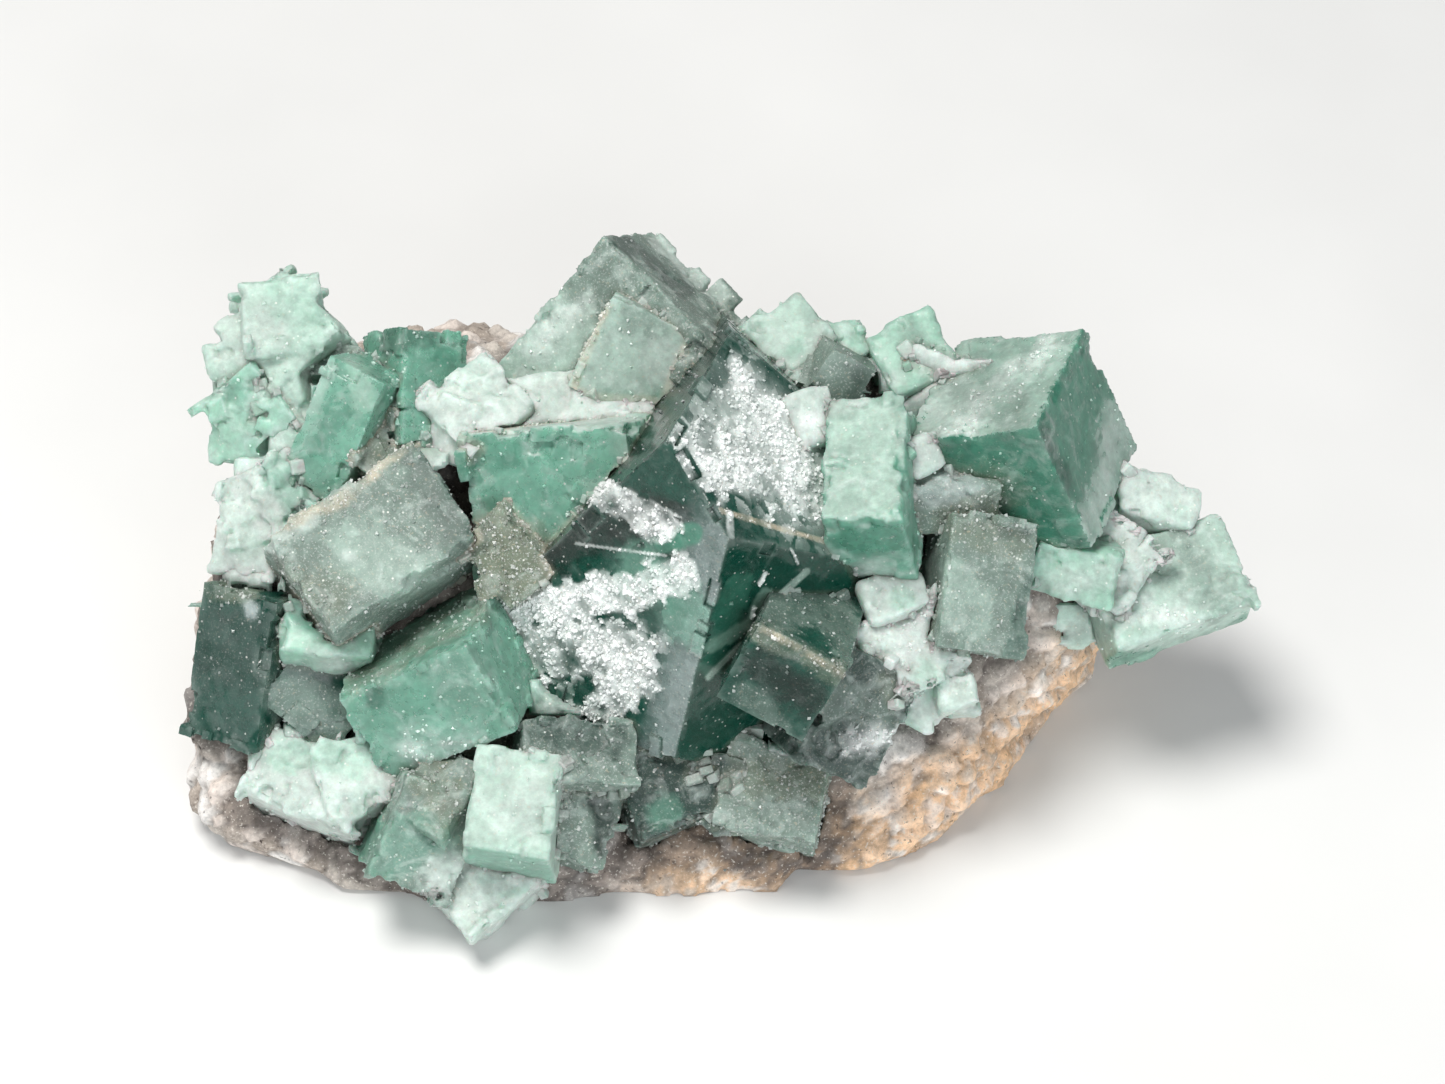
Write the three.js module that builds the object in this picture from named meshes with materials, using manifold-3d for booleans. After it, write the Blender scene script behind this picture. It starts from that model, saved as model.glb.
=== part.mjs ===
// A fluorite specimen: green cubic crystals grown over the sloping face of a broken rock.
// Millimetres, +Z up. The rock lies on its flat underside, and the face that carries the crystals
// slopes down towards -Y. The origin is the middle of the underside of the whole specimen's box.
import * as THREE from "three";
import { mergeVertices } from "three/addons/utils/BufferGeometryUtils.js";
import Module from "manifold-3d";

const wasm = await Module();
wasm.setup();

// Driving dimensions
const faceSlope = 40; // degrees between the crystal face and the ground
const faceRise = 37; // from the ground line to the crystal face's origin, along the face's normal
const gap = 0.3; // clearance between neighbouring pieces
const rockHeart = [-4, -17, 15]; // the point inside the rock that its surface is measured from
const rockDetail = 13; // subdivisions of the rock's surface
const rockLumps = 1.5; // height of the lumps on the rock
const rockRounding = 9; // higher keeps the rock's broken sides flatter
const weld = 1e-4; // corners closer together than this are one corner

const degrees = THREE.MathUtils.degToRad;

const finishes = {
  dark: { color: 0x17493c, roughness: 0.18 },
  green: { color: 0x4f9c80, roughness: 0.28 },
  mint: { color: 0x9fd3bd, roughness: 0.38 },
  cloudy: { color: 0xd2e8dd, roughness: 0.5 },
  frosted: { color: 0x7f9f93, roughness: 0.62 },
  rock: { color: 0x8b7866, roughness: 0.92 },
};

// The crystal face has a frame of its own: X to the right, Y up the slope, Z straight out of it.
const faceFrame = new THREE.Group();
faceFrame.rotation.x = degrees(faceSlope);
faceFrame.position.set(
  0,
  -faceRise * Math.sin(degrees(faceSlope)),
  faceRise * Math.cos(degrees(faceSlope)),
);
faceFrame.updateMatrix();

// Closed solids, and back to geometry

function solidOf(geometry) {
  const bare = geometry.clone();
  bare.deleteAttribute("normal");
  bare.deleteAttribute("uv");
  const merged = mergeVertices(bare, weld);
  return new wasm.Manifold(
    new wasm.Mesh({
      numProp: 3,
      vertProperties: merged.attributes.position.array,
      triVerts: new Uint32Array(merged.index.array),
    }),
  );
}

function geometryOf(solid) {
  const { vertProperties, triVerts } = solid.getMesh();
  const geometry = new THREE.BufferGeometry();
  geometry.setAttribute("position", new THREE.BufferAttribute(vertProperties, 3));
  geometry.setIndex(new THREE.BufferAttribute(triVerts, 1));
  geometry.computeVertexNormals();
  return geometry;
}

function largestBody(solid) {
  const bodies = solid.decompose();
  return bodies.reduce((best, body) => (body.volume() > best.volume() ? body : best));
}

// One block with square corners. `at` is the middle of its front face, which leans `lean` degrees
// away from facing straight out, in the direction `toward` (0 is right, 90 is up the slope), and
// `roll` is the direction of the edges that `size[0]` runs along. `size[2]` goes inward.
function blockGeometry({ at, lean, toward, roll = 0, size }, grow = 0) {
  const [width, height, depth] = size;
  const block = new THREE.BoxGeometry(width + 2 * grow, height + 2 * grow, depth + 2 * grow);
  block.translate(0, 0, -depth / 2);
  block.rotateZ(degrees(roll - toward));
  block.rotateY(degrees(lean));
  block.rotateZ(degrees(toward));
  block.translate(...at);
  return block;
}

const blockSolid = (block, grow) => solidOf(blockGeometry(block, grow));

// A crystal is one block, or a few grown into each other
function blocksSolid(blocks, grow) {
  return blocks
    .map((block) => blockSolid(block, grow))
    .reduce((whole, block) => whole.add(block));
}

// The largest crystal is not a plain block: its faces are given one by one, each by a point
// on it and by its lean, and the crystal is what lies behind all of them.
const largestCorner = [0.5, 0.4, 17]; // where its three broad faces meet
const halfSpace = [120, 120, 80]; // big enough to hold the crystal behind one face
const largestFaces = [
  { at: largestCorner, lean: 42, toward: 215 }, // lower left
  { at: largestCorner, lean: 50, toward: 28 }, // upper right
  { at: largestCorner, lean: 50, toward: 312 }, // lower right
  { at: [-12, 3.6, 9.3], lean: 80, toward: 141 }, // steep side over its left neighbours
  { at: [0, 21, 6], lean: 84, toward: 48 }, // upper end
  { at: [13.5, 0, 4], lean: 86, toward: 5 }, // right end
  { at: [-12.3, -18.4, 0], lean: 87, toward: 238 }, // lower left end
  { at: [-5.4, -21.3, 0], lean: 87, toward: 249 }, // lower corner
  { at: [-5.4, -21.3, 0], lean: 86, toward: 262 }, // lower end
  { at: [0, 0, -11], lean: 180, toward: 0 }, // root, inside the rock
];

function largestCrystal(grow) {
  return largestFaces
    .map((face) => blockSolid({ ...face, size: halfSpace }, grow))
    .reduce((whole, side) => whole.intersect(side));
}

// Every other crystal, in the crystal face's frame. Where two meet, the earlier one is whole and
// the later one ends against it.
const crystals = [
  {
    name: "lower_right_cube_on_largest",
    finish: "dark",
    blocks: [{ at: [5.7, -13.6, 12], lean: 30, toward: 250, roll: -29, size: [9, 9, 13] }],
  },
  {
    name: "right_cube",
    finish: "green",
    blocks: [{ at: [27.2, 15.4, 1.6], lean: 59, toward: 118, roll: 170, size: [14, 15.4, 15] }],
  },
  {
    name: "standing_pillar",
    finish: "mint",
    blocks: [{ at: [13.8, 8.2, 8], lean: 37, toward: 110, roll: 90, size: [14.5, 7.5, 10] }],
  },
  {
    name: "top_cube_step",
    finish: "green",
    blocks: [{ at: [-9, 18, -0.5], lean: 15, toward: 250, roll: 62, size: [10, 9, 6] }],
  },
  {
    name: "top_cube",
    finish: "frosted",
    blocks: [{ at: [-11.8, 16.7, -3], lean: 23, toward: 195, roll: 47, size: [20.5, 18.5, 12] }],
  },
  {
    name: "left_centre_cube",
    finish: "green",
    blocks: [{ at: [-17, 2.8, 2], lean: 21, toward: 208, roll: 4, size: [17, 16.5, 13] }],
  },
  {
    name: "broad_frosted_cube",
    finish: "frosted",
    blocks: [{ at: [-34.6, 0.6, 4], lean: 20, toward: 80, roll: 36, size: [17, 11.5, 10] }],
  },
  {
    name: "lower_left_centre_cube",
    finish: "green",
    blocks: [{ at: [-29.2, -17, 4], lean: 30, toward: 250, roll: 26, size: [14.5, 10, 16] }],
  },
  {
    name: "dark_left_cube",
    finish: "dark",
    blocks: [
      { at: [-49.4, -12.6, -2], lean: 30, toward: 190, roll: 78, size: [15, 8.5, 14] },
      { at: [-40.5, -15.4, -2], lean: 12, toward: 330, roll: -38, size: [9, 8, 8] },
    ],
  },
  {
    name: "small_mint_cube",
    finish: "mint",
    blocks: [{ at: [-39.4, -8.3, 1], lean: 25, toward: 90, roll: -5, size: [9, 6, 8] }],
  },
  {
    name: "low_mint_cube",
    finish: "mint",
    blocks: [{ at: [-20.7, -25.5, 6], lean: 20, toward: 100, roll: 82, size: [10, 8, 10] }],
  },
  {
    name: "lowest_cube",
    finish: "cloudy",
    blocks: [{ at: [-24.7, -33.2, 0], lean: 14, toward: 90, roll: 42, size: [9, 9, 8] }],
  },
  {
    name: "low_tall_cube",
    finish: "mint",
    blocks: [
      { at: [-29.2, -29.3, 3], lean: 15, toward: 330, roll: 69, size: [10, 8, 9] },
      { at: [-28.5, -24.5, 3], lean: 30, toward: 100, roll: 60, size: [8, 6, 7] },
    ],
  },
  {
    name: "low_cloudy_cluster",
    finish: "cloudy",
    blocks: [
      { at: [-42.2, -23.3, -1], lean: 20, toward: 110, roll: -20, size: [11, 7, 9] },
      { at: [-36.4, -23.3, 0], lean: 20, toward: 70, roll: 20, size: [8, 7, 8] },
    ],
  },
  {
    name: "under_largest_left_cube",
    finish: "frosted",
    blocks: [{ at: [-14.2, -20.8, 3], lean: 25, toward: 60, roll: 0, size: [11, 6, 8] }],
  },
  {
    name: "low_frosted_cube",
    finish: "frosted",
    blocks: [{ at: [-14.5, -26, 1], lean: 20, toward: 20, roll: 70, size: [10.5, 9, 9] }],
  },
  {
    name: "under_largest_centre_cube",
    finish: "frosted",
    blocks: [{ at: [-5.2, -24.2, 0], lean: 15, toward: 60, roll: 20, size: [9, 8, 9] }],
  },
  {
    name: "under_largest_small_cube",
    finish: "frosted",
    blocks: [{ at: [-0.8, -25, -0.5], lean: 10, toward: 0, roll: 75, size: [7, 6, 8] }],
  },
  {
    name: "under_largest_right_cube",
    finish: "frosted",
    blocks: [{ at: [5, -24.8, 0], lean: 15, toward: 90, roll: -12, size: [10, 8.5, 9] }],
  },
  {
    name: "right_low_frosted_cube",
    finish: "frosted",
    blocks: [{ at: [13.2, -17.3, 5], lean: 25, toward: 320, roll: 65, size: [12, 9, 9] }],
  },
  {
    name: "right_grey_cube",
    finish: "frosted",
    blocks: [{ at: [26.2, -4.3, 5], lean: 15, toward: 0, roll: 82, size: [13, 8.5, 9] }],
  },
  {
    name: "right_cloudy_cluster",
    finish: "cloudy",
    blocks: [
      { at: [18.8, -10.3, 4], lean: 20, toward: 60, roll: 30, size: [9, 8, 8] },
      { at: [21.7, -8.3, 4.5], lean: 12, toward: 200, roll: 55, size: [6, 6, 6] },
      { at: [23.2, -14.8, 4], lean: 15, toward: 90, roll: 10, size: [3.5, 3, 5] },
      { at: [19.4, -14.6, 2.5], lean: 12, toward: 300, roll: 60, size: [7, 7, 9] },
    ],
  },
  {
    name: "right_brown_facet_cube",
    finish: "frosted",
    blocks: [{ at: [22.7, 3.2, 4], lean: 30, toward: 270, roll: 0, size: [9, 5, 7] }],
  },
  {
    name: "under_pillar_cube",
    finish: "cloudy",
    blocks: [{ at: [17, -5, 5], lean: 20, toward: 90, roll: 20, size: [6, 4, 6] }],
  },
  {
    name: "under_right_cube",
    finish: "mint",
    blocks: [{ at: [35.2, -3.3, 1], lean: 20, toward: 250, roll: -10, size: [8, 5, 7] }],
  },
  {
    name: "far_right_cube",
    finish: "mint",
    blocks: [{ at: [45, -4, -4], lean: 18, toward: 80, roll: 21, size: [15, 9.5, 7] }],
  },
  {
    name: "far_right_inner_cube",
    finish: "cloudy",
    blocks: [{ at: [38.7, -1.8, -2], lean: 10, toward: 90, roll: -35, size: [8, 8, 7] }],
  },
  {
    name: "far_right_tip",
    finish: "cloudy",
    blocks: [{ at: [44.2, 4.7, -5], lean: 20, toward: 60, roll: -15, size: [8, 4.5, 6] }],
  },
  {
    name: "top_right_mint_pair",
    finish: "mint",
    blocks: [
      { at: [7.2, 21, -4], lean: 15, toward: 90, roll: 40, size: [6, 6, 7] },
      { at: [3.7, 20.6, -4], lean: 15, toward: 90, roll: 45, size: [4, 4, 6] },
    ],
  },
  {
    name: "top_right_ledge",
    finish: "cloudy",
    blocks: [{ at: [6.7, 17.4, -3], lean: 30, toward: 90, roll: -5, size: [9, 5, 7] }],
  },
  {
    name: "top_right_chip",
    finish: "mint",
    blocks: [{ at: [12.5, 20.4, -5], lean: 15, toward: 90, roll: 15, size: [3.5, 3.5, 5] }],
  },
  {
    name: "top_right_mint_cube",
    finish: "mint",
    blocks: [{ at: [19.2, 19.2, -4], lean: 20, toward: 90, roll: 25, size: [7, 7, 8] }],
  },
  {
    name: "behind_pillar_cube",
    finish: "cloudy",
    blocks: [{ at: [21.2, 15, -3], lean: 10, toward: 200, roll: 70, size: [8, 7, 7] }],
  },
  {
    name: "small_dark_cube",
    finish: "dark",
    blocks: [{ at: [12, 16, 0], lean: 20, toward: 300, roll: -30, size: [5, 4.5, 6] }],
  },
  {
    name: "small_white_cube",
    finish: "cloudy",
    blocks: [{ at: [9.2, 12.4, 4], lean: 15, toward: 60, roll: 20, size: [4.5, 5, 6] }],
  },
  {
    name: "pillar_side_chip",
    finish: "cloudy",
    blocks: [{ at: [19.7, 8.5, 5], lean: 10, toward: 0, roll: 30, size: [3, 3.5, 5] }],
  },
  {
    name: "top_left_cluster",
    finish: "mint",
    blocks: [
      { at: [-45, 21.4, -3], lean: 16, toward: 120, roll: 43, size: [9.2, 9.2, 11] },
      { at: [-44.3, 22.6, -2], lean: 12, toward: 60, roll: 6, size: [7.5, 7.5, 10] },
      { at: [-47, 16, -3], lean: 14, toward: 200, roll: 12, size: [8.5, 9, 10] },
    ],
  },
  {
    name: "top_left_lower_cluster",
    finish: "mint",
    blocks: [
      { at: [-47.8, 13, -2.5], lean: 20, toward: 230, roll: 38, size: [7, 7, 8] },
      { at: [-49, 10.6, -4], lean: 15, toward: 190, roll: 0, size: [5, 4.5, 7] },
    ],
  },
  {
    name: "long_green_crystal",
    finish: "green",
    blocks: [{ at: [-39, 11.2, 0], lean: 20, toward: 200, roll: 64, size: [13, 6, 7] }],
  },
  {
    name: "upper_left_edge_cube",
    finish: "green",
    blocks: [{ at: [-29, 15.4, -3], lean: 35, toward: 5, roll: 88, size: [11, 7, 8] }],
  },
  {
    name: "upper_left_ledge",
    finish: "frosted",
    blocks: [{ at: [-39.2, 18.5, -4], lean: 20, toward: 90, roll: 0, size: [5, 3, 5] }],
  },
  {
    name: "upper_left_white_cluster",
    finish: "cloudy",
    blocks: [
      { at: [-24.7, 13.7, -1], lean: 25, toward: 100, roll: 40, size: [8, 8, 8] },
      { at: [-27.2, 11.2, -1], lean: 20, toward: 200, roll: 70, size: [6, 4, 6] },
    ],
  },
  {
    name: "left_cloudy_cluster",
    finish: "cloudy",
    blocks: [
      { at: [-46.4, 3.7, -2], lean: 20, toward: 160, roll: 12, size: [9, 7, 8] },
      { at: [-48.2, -0.8, -3], lean: 15, toward: 190, roll: -8, size: [6.5, 5, 7] },
      { at: [-43.2, 5.7, -1.5], lean: 10, toward: 100, roll: 60, size: [6, 6, 6] },
    ],
  },
  {
    name: "white_ledge",
    finish: "cloudy",
    blocks: [
      { at: [-17, 14.4, -2], lean: 24, toward: 80, roll: 8, size: [10, 5.5, 8] },
      { at: [-11, 13.4, -1], lean: 20, toward: 100, roll: -4, size: [8, 4, 7] },
    ],
  },
  {
    name: "upper_left_seam_cube",
    finish: "frosted",
    blocks: [
      { at: [-33.2, 11, -1.5], lean: 14, toward: 60, roll: 52, size: [9, 7, 9] },
      { at: [-25.5, 6.5, -0.5], lean: 16, toward: 150, roll: 30, size: [7, 7, 8] },
    ],
  },
  {
    name: "centre_seam_cube",
    finish: "frosted",
    blocks: [{ at: [-21.7, -1.8, 2], lean: 20, toward: 230, roll: -50, size: [8, 6, 8] }],
  },
];

// The rock, in the specimen's own frame: broken sides, each by its direction and how far out of
// the heart it lies, run into each other, with lumps over all of it and a flat underside.
const rockSides = [
  { facing: [0, -0.64, 0.77], out: 9.5 }, // the slope that carries the crystals
  { facing: [0, -1, 0.05], out: 35 }, // front
  { facing: [-0.45, -0.89, 0], out: 45.5 }, // front left
  { facing: [0.45, -0.89, 0.05], out: 33.5 }, // front right
  { facing: [0.8, -0.6, 0.05], out: 37 }, // right front
  { facing: [-1, 0.05, 0.12], out: 49 }, // left
  { facing: [1, 0.25, -0.2], out: 48 }, // right
  { facing: [0.1, 0.92, 0.4], out: 28 }, // back
  { facing: [-0.6, 0.7, 0.35], out: 40 }, // back left
  { facing: [0.6, 0.75, 0.3], out: 38 }, // back right
  { facing: [0, 0.3, 0.95], out: 22 }, // top
  { facing: [0, 0, -1], out: 17 }, // underside, below the ground, where it is cut flat
];

// A hollow in the rock's upper rim, beside the top cube
const rockDip = { at: [-20, 0, 32], radius: 10, depth: 7 };

// The lumps are waves of three sizes. Each is a sine times a cosine, both running over the rock by
// so many radians per millimetre along X, Y and Z, and `start` is what each is at the origin.
const rockWaves = [
  { height: 0.8, sine: [0.21, 0, 0.1], cosine: [-0.13, 0.19, 0], start: [0, 1] },
  { height: 0.7, sine: [0.31, 0.47, 0], cosine: [-0.27, 0, 0.43], start: [2, 0] },
  { height: 0.45, sine: [0.93, 0, -0.71], cosine: [0, 0.89, 0.67], start: [0, 0.5] },
];

function rockReach(direction) {
  const nearness = rockSides.map(({ facing, out }) => {
    const outward = direction.dot(new THREE.Vector3(...facing).normalize());
    return Math.max(outward, 0) / out;
  });
  const total = nearness.reduce((sum, value) => sum + value ** rockRounding, 0);
  return total ** (-1 / rockRounding);
}

function lumps(point) {
  const along = (run) => point.dot(new THREE.Vector3(...run));
  const waves = rockWaves.map(({ height, sine, cosine, start }) => {
    return height * Math.sin(along(sine) + start[0]) * Math.cos(along(cosine) + start[1]);
  });
  const toDip = point.distanceTo(new THREE.Vector3(...rockDip.at));
  const dip = rockDip.depth * Math.exp(-((toDip / rockDip.radius) ** 2));
  return rockLumps * waves.reduce((sum, wave) => sum + wave, 0) - dip;
}

function rockSolid() {
  const ball = new THREE.IcosahedronGeometry(1, rockDetail);
  ball.deleteAttribute("normal");
  ball.deleteAttribute("uv");
  const rock = mergeVertices(ball, weld);
  const heart = new THREE.Vector3(...rockHeart);
  const place = rock.attributes.position;
  for (let i = 0; i < place.count; i++) {
    const direction = new THREE.Vector3().fromBufferAttribute(place, i).normalize();
    const point = direction.clone().multiplyScalar(rockReach(direction)).add(heart);
    point.addScaledVector(direction, lumps(point));
    place.setXYZ(i, point.x, point.y, point.z);
  }
  return largestBody(solidOf(rock).subtract(solidOf(ground)));
}

// Assembly

function piece(name, solid, finish) {
  const { color, roughness } = finishes[finish];
  const material = new THREE.MeshStandardMaterial({ color, roughness, metalness: 0 });
  const mesh = new THREE.Mesh(geometryOf(solid), material);
  mesh.name = name;
  return mesh;
}

const group = new THREE.Group();
group.add(faceFrame);

// Crystals that hang over the front of the rock end just above the ground
const groundSize = { across: 300, deep: 100 }; // wider than the specimen
const ground = new THREE.BoxGeometry(groundSize.across, groundSize.across, groundSize.deep);
ground.translate(0, 0, -groundSize.deep / 2);
const toFaceFrame = faceFrame.matrix.clone().invert();
const groundAtFace = solidOf(ground.clone().translate(0, 0, gap).applyMatrix4(toFaceFrame));

faceFrame.add(piece("largest_crystal", largestCrystal(0), "dark"));
let taken = largestCrystal(gap);
for (const { name, finish, blocks } of crystals) {
  const solid = largestBody(blocksSolid(blocks, 0).subtract(taken).subtract(groundAtFace));
  faceFrame.add(piece(name, solid, finish));
  taken = taken.add(blocksSolid(blocks, gap));
}

const takenInRock = solidOf(geometryOf(taken).applyMatrix4(faceFrame.matrix));
group.add(piece("rock_matrix", largestBody(rockSolid().subtract(takenInRock)), "rock"));

// Put the origin in the middle of the underside of the specimen's box
const box = new THREE.Box3().setFromObject(group, true);
const middle = box.getCenter(new THREE.Vector3());
group.position.set(-middle.x, -middle.y, -box.min.z);

export default group;
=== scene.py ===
import itertools
import math

import bmesh
import bpy
import numpy as np
from mathutils import Matrix, Vector
from mathutils.bvhtree import BVHTree


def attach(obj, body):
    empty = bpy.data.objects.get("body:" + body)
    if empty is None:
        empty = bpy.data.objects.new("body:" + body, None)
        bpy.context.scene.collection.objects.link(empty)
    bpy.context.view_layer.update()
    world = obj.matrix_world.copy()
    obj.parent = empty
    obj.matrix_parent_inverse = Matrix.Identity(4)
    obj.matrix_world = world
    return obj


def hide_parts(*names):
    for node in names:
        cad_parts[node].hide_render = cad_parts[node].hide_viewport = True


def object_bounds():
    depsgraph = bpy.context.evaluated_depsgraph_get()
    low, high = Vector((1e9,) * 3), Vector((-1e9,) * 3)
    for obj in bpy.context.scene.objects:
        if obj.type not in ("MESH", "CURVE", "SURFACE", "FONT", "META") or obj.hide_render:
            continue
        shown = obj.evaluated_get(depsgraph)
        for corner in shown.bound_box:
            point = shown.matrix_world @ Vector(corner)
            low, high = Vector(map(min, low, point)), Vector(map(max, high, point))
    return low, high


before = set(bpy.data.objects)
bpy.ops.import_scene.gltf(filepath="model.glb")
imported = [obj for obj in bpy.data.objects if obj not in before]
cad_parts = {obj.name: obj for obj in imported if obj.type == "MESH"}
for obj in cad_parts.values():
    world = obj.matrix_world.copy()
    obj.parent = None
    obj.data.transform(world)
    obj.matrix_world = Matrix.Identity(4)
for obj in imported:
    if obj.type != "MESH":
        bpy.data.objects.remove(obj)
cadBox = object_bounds()
mm = 0.001
print("frame loaded:", len(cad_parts), "nodes")

# The crystals grew on a sloping face of the rock. Its own axes: right, up the slope, and straight out.
slopeAngle = math.radians(50)
faceRight = np.array((1.0, 0.0, 0.0))
faceUp = np.array((0.0, math.sin(slopeAngle), math.cos(slopeAngle)))
faceOut = np.array((0.0, -math.cos(slopeAngle), math.sin(slopeAngle)))
faceShare = (0.510, 0.414, 0.588)  # where the face's axes cross, as shares of the whole box
boxLow = np.array(cadBox[0])
boxHigh = np.array(cadBox[1])
faceOrigin = boxLow + (boxHigh - boxLow) * np.array(faceShare)


def cellNumbers(cells):
    # a whole number for each cell of a grid, the same at every run
    return (cells[:, 0] * 73856093) ^ (cells[:, 1] * 19349663) ^ (cells[:, 2] * 83492791)


def shuffled(numbers):
    return (numbers * 1103515245 + 12345) & 0x7FFFFFFF


def softNoise(points, size, seed):
    # smooth random values from -1 to 1, with bumps about `size` across
    q = points / size + np.array((seed * 7.31, seed * 3.77, seed * 5.13)) + 400.0
    base = np.floor(q).astype(np.int64)
    f = q - base
    f = f * f * (3 - 2 * f)
    total = np.zeros(len(points))
    for corner in itertools.product((0, 1), repeat=3):
        h = shuffled(cellNumbers(base + np.array(corner)))
        h = ((h >> 9) * 69069 + h) & 0xFFFFFF
        weight = np.ones(len(points))
        for axis in range(3):
            weight *= f[:, axis] if corner[axis] else 1 - f[:, axis]
        total += weight * (h / 0xFFFFFF)
    return total * 2 - 1


def layeredNoise(points, size, seed, layers=3):
    total = np.zeros(len(points))
    for i in range(layers):
        total += softNoise(points, size / 2 ** i, seed + i) / 2 ** i
    return total / (2 - 1 / 2 ** (layers - 1))


def cellLumps(points, size, seed):
    # rounded grains packed side by side: height, and a random value for each grain
    q = points / size + 300.0
    base = np.floor(q).astype(np.int64)
    nearest = np.full(len(points), 9.0)
    second = np.full(len(points), 9.0)
    tag = np.zeros(len(points))
    for offset in itertools.product((-1, 0, 1), repeat=3):
        c = base + np.array(offset)
        h = cellNumbers(c) + seed * 7919
        spots = []
        for _ in range(4):
            h = shuffled(h)
            spots.append(((h >> 8) & 0xFFFF) / 0xFFFF)
        centre = c + np.stack(spots[:3], 1)
        d = np.linalg.norm(q - centre, axis=1)
        closer = d < nearest
        second = np.where(closer, nearest, np.minimum(second, d))
        tag = np.where(closer, spots[3], tag)
        nearest = np.where(closer, d, nearest)
    return np.clip(second - nearest, 0, 1), tag


def smoothStep(values, low, high):
    t = np.clip((values - low) / (high - low), 0, 1)
    return t * t * (3 - 2 * t)


def coordinates(mesh):
    co = np.zeros(len(mesh.vertices) * 3)
    mesh.vertices.foreach_get("co", co)
    return co.reshape(-1, 3)


def setCoordinates(mesh, co):
    mesh.vertices.foreach_set("co", co.ravel())
    mesh.update()


def vertexNormals(mesh):
    normals = np.zeros(len(mesh.vertices) * 3)
    mesh.vertex_normals.foreach_get("vector", normals)
    return normals.reshape(-1, 3)


def storeColour(mesh, name, colours):
    layer = mesh.attributes.new(name, "FLOAT_COLOR", "POINT")
    rgba = np.ones((len(colours), 4))
    rgba[:, :3] = colours
    layer.data.foreach_set("color", rgba.ravel())


def storeValue(mesh, name, values):
    layer = mesh.attributes.new(name, "FLOAT", "POINT")
    layer.data.foreach_set("value", np.asarray(values, dtype=np.float32))


def newObject(name, mesh):
    obj = bpy.data.objects.new(name, mesh)
    bpy.context.scene.collection.objects.link(obj)
    return obj


def meshFromArrays(name, points, faces):
    mesh = bpy.data.meshes.new(name)
    mesh.from_pydata([tuple(p) for p in points], [], [tuple(f) for f in faces])
    mesh.update()
    return mesh


# the tones that the crystals are painted with: colour, how frosted the surface is,
# how thickly tiny crystals grow on it, how patchy its edge is
tones = {
    "black": {"colour": (0.006, 0.020, 0.015), "frost": 0.10, "druse": 0.10, "patchy": 0.3},
    "deep": {"colour": (0.002, 0.066, 0.042), "frost": 0.03, "druse": 0.02, "patchy": 0.2},
    "dark": {"colour": (0.008, 0.078, 0.053), "frost": 0.06, "druse": 0.05, "patchy": 0.2},
    "green": {"colour": (0.080, 0.300, 0.205), "frost": 0.12, "druse": 0.05, "patchy": 0.2},
    "sea": {"colour": (0.200, 0.460, 0.345), "frost": 0.25, "druse": 0.06, "patchy": 0.2},
    "mint": {"colour": (0.390, 0.640, 0.515), "frost": 0.30, "druse": 0.04, "patchy": 0.2},
    "pale": {"colour": (0.450, 0.600, 0.520), "frost": 0.45, "druse": 0.06, "patchy": 0.3},
    "cloud": {"colour": (0.560, 0.650, 0.600), "frost": 0.50, "druse": 0.08, "patchy": 0.5},
    "grey": {"colour": (0.170, 0.235, 0.200), "frost": 0.60, "druse": 0.18, "patchy": 0.4},
    "slate": {"colour": (0.030, 0.062, 0.050), "frost": 0.28, "druse": 0.12, "patchy": 0.4},
    "olive": {"colour": (0.160, 0.190, 0.138), "frost": 0.75, "druse": 0.35, "patchy": 0.6},
    "lilac": {"colour": (0.340, 0.400, 0.395), "frost": 0.55, "druse": 0.05, "patchy": 0.2},
    "snow": {"colour": (0.800, 0.835, 0.815), "frost": 1.00, "druse": 1.00, "patchy": 0.8},
    "tan": {"colour": (0.500, 0.430, 0.320), "frost": 0.90, "druse": 0.70, "patchy": 0.9},
    "rust": {"colour": (0.520, 0.210, 0.080), "frost": 0.70, "druse": 0.20, "patchy": 0.3},
}


def stroke(tone, along, reach, amount=0.8, side=None, soft=0.5):
    # `along` holds points as shares across and up the piece, `reach` is in millimetres
    return {"tone": tone, "along": along, "reach": reach, "amount": amount, "side": side, "soft": soft}


# a tone for all the faces that look towards one side: partly the face's own colour, partly painted light and
# shade for how that side faces the lamps
def sideTone(tone, side, amount=0.8):
    return {"tone": tone, "along": None, "reach": 0, "amount": amount, "side": side, "soft": 1}


sideLean = math.radians(66)  # of a crystal's side faces, from straight out


def sideDirection(side):
    # "front" looks straight out of the rock's face, a number is a side's direction round it
    if side == "front":
        return faceOut
    angle = math.radians(side)
    flat = faceRight * math.cos(angle) + faceUp * math.sin(angle)
    return flat * math.sin(sideLean) + faceOut * math.cos(sideLean)


def distanceToLine(across, up, line):
    best = np.full(len(across), 1e9)
    pairs = list(zip(line, line[1:])) or [(line[0], line[0])]
    for (ax, ay), (bx, by) in pairs:
        dx, dy = bx - ax, by - ay
        length = max(dx * dx + dy * dy, 1e-12)
        t = np.clip(((across - ax) * dx + (up - ay) * dy) / length, 0, 1)
        best = np.minimum(best, np.hypot(across - ax - t * dx, up - ay - t * dy))
    return best


def mixIn(colour, other, share):
    # moves the colour of each point towards another one
    colour += (np.array(other) - colour) * share[:, None]


def addTone(colour, frost, thickness, tone, share):
    mixIn(colour, tone["colour"], share)
    frost += (tone["frost"] - frost) * share
    thickness += (tone["druse"] - thickness) * share


# how the edge of a stroke wanders: width of the bumps in mm, and how far each kind moves it
brush = {
    "fineSize": 1.6,
    "fine": 0.25,
    "broadSize": 4.5,
    "broad": 0.28,
    "blockSize": 1.3,
    "blocks": 0.40,
    "facing": (0.72, 0.84),  # how squarely a face has to look towards a stroke's side
}


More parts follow.
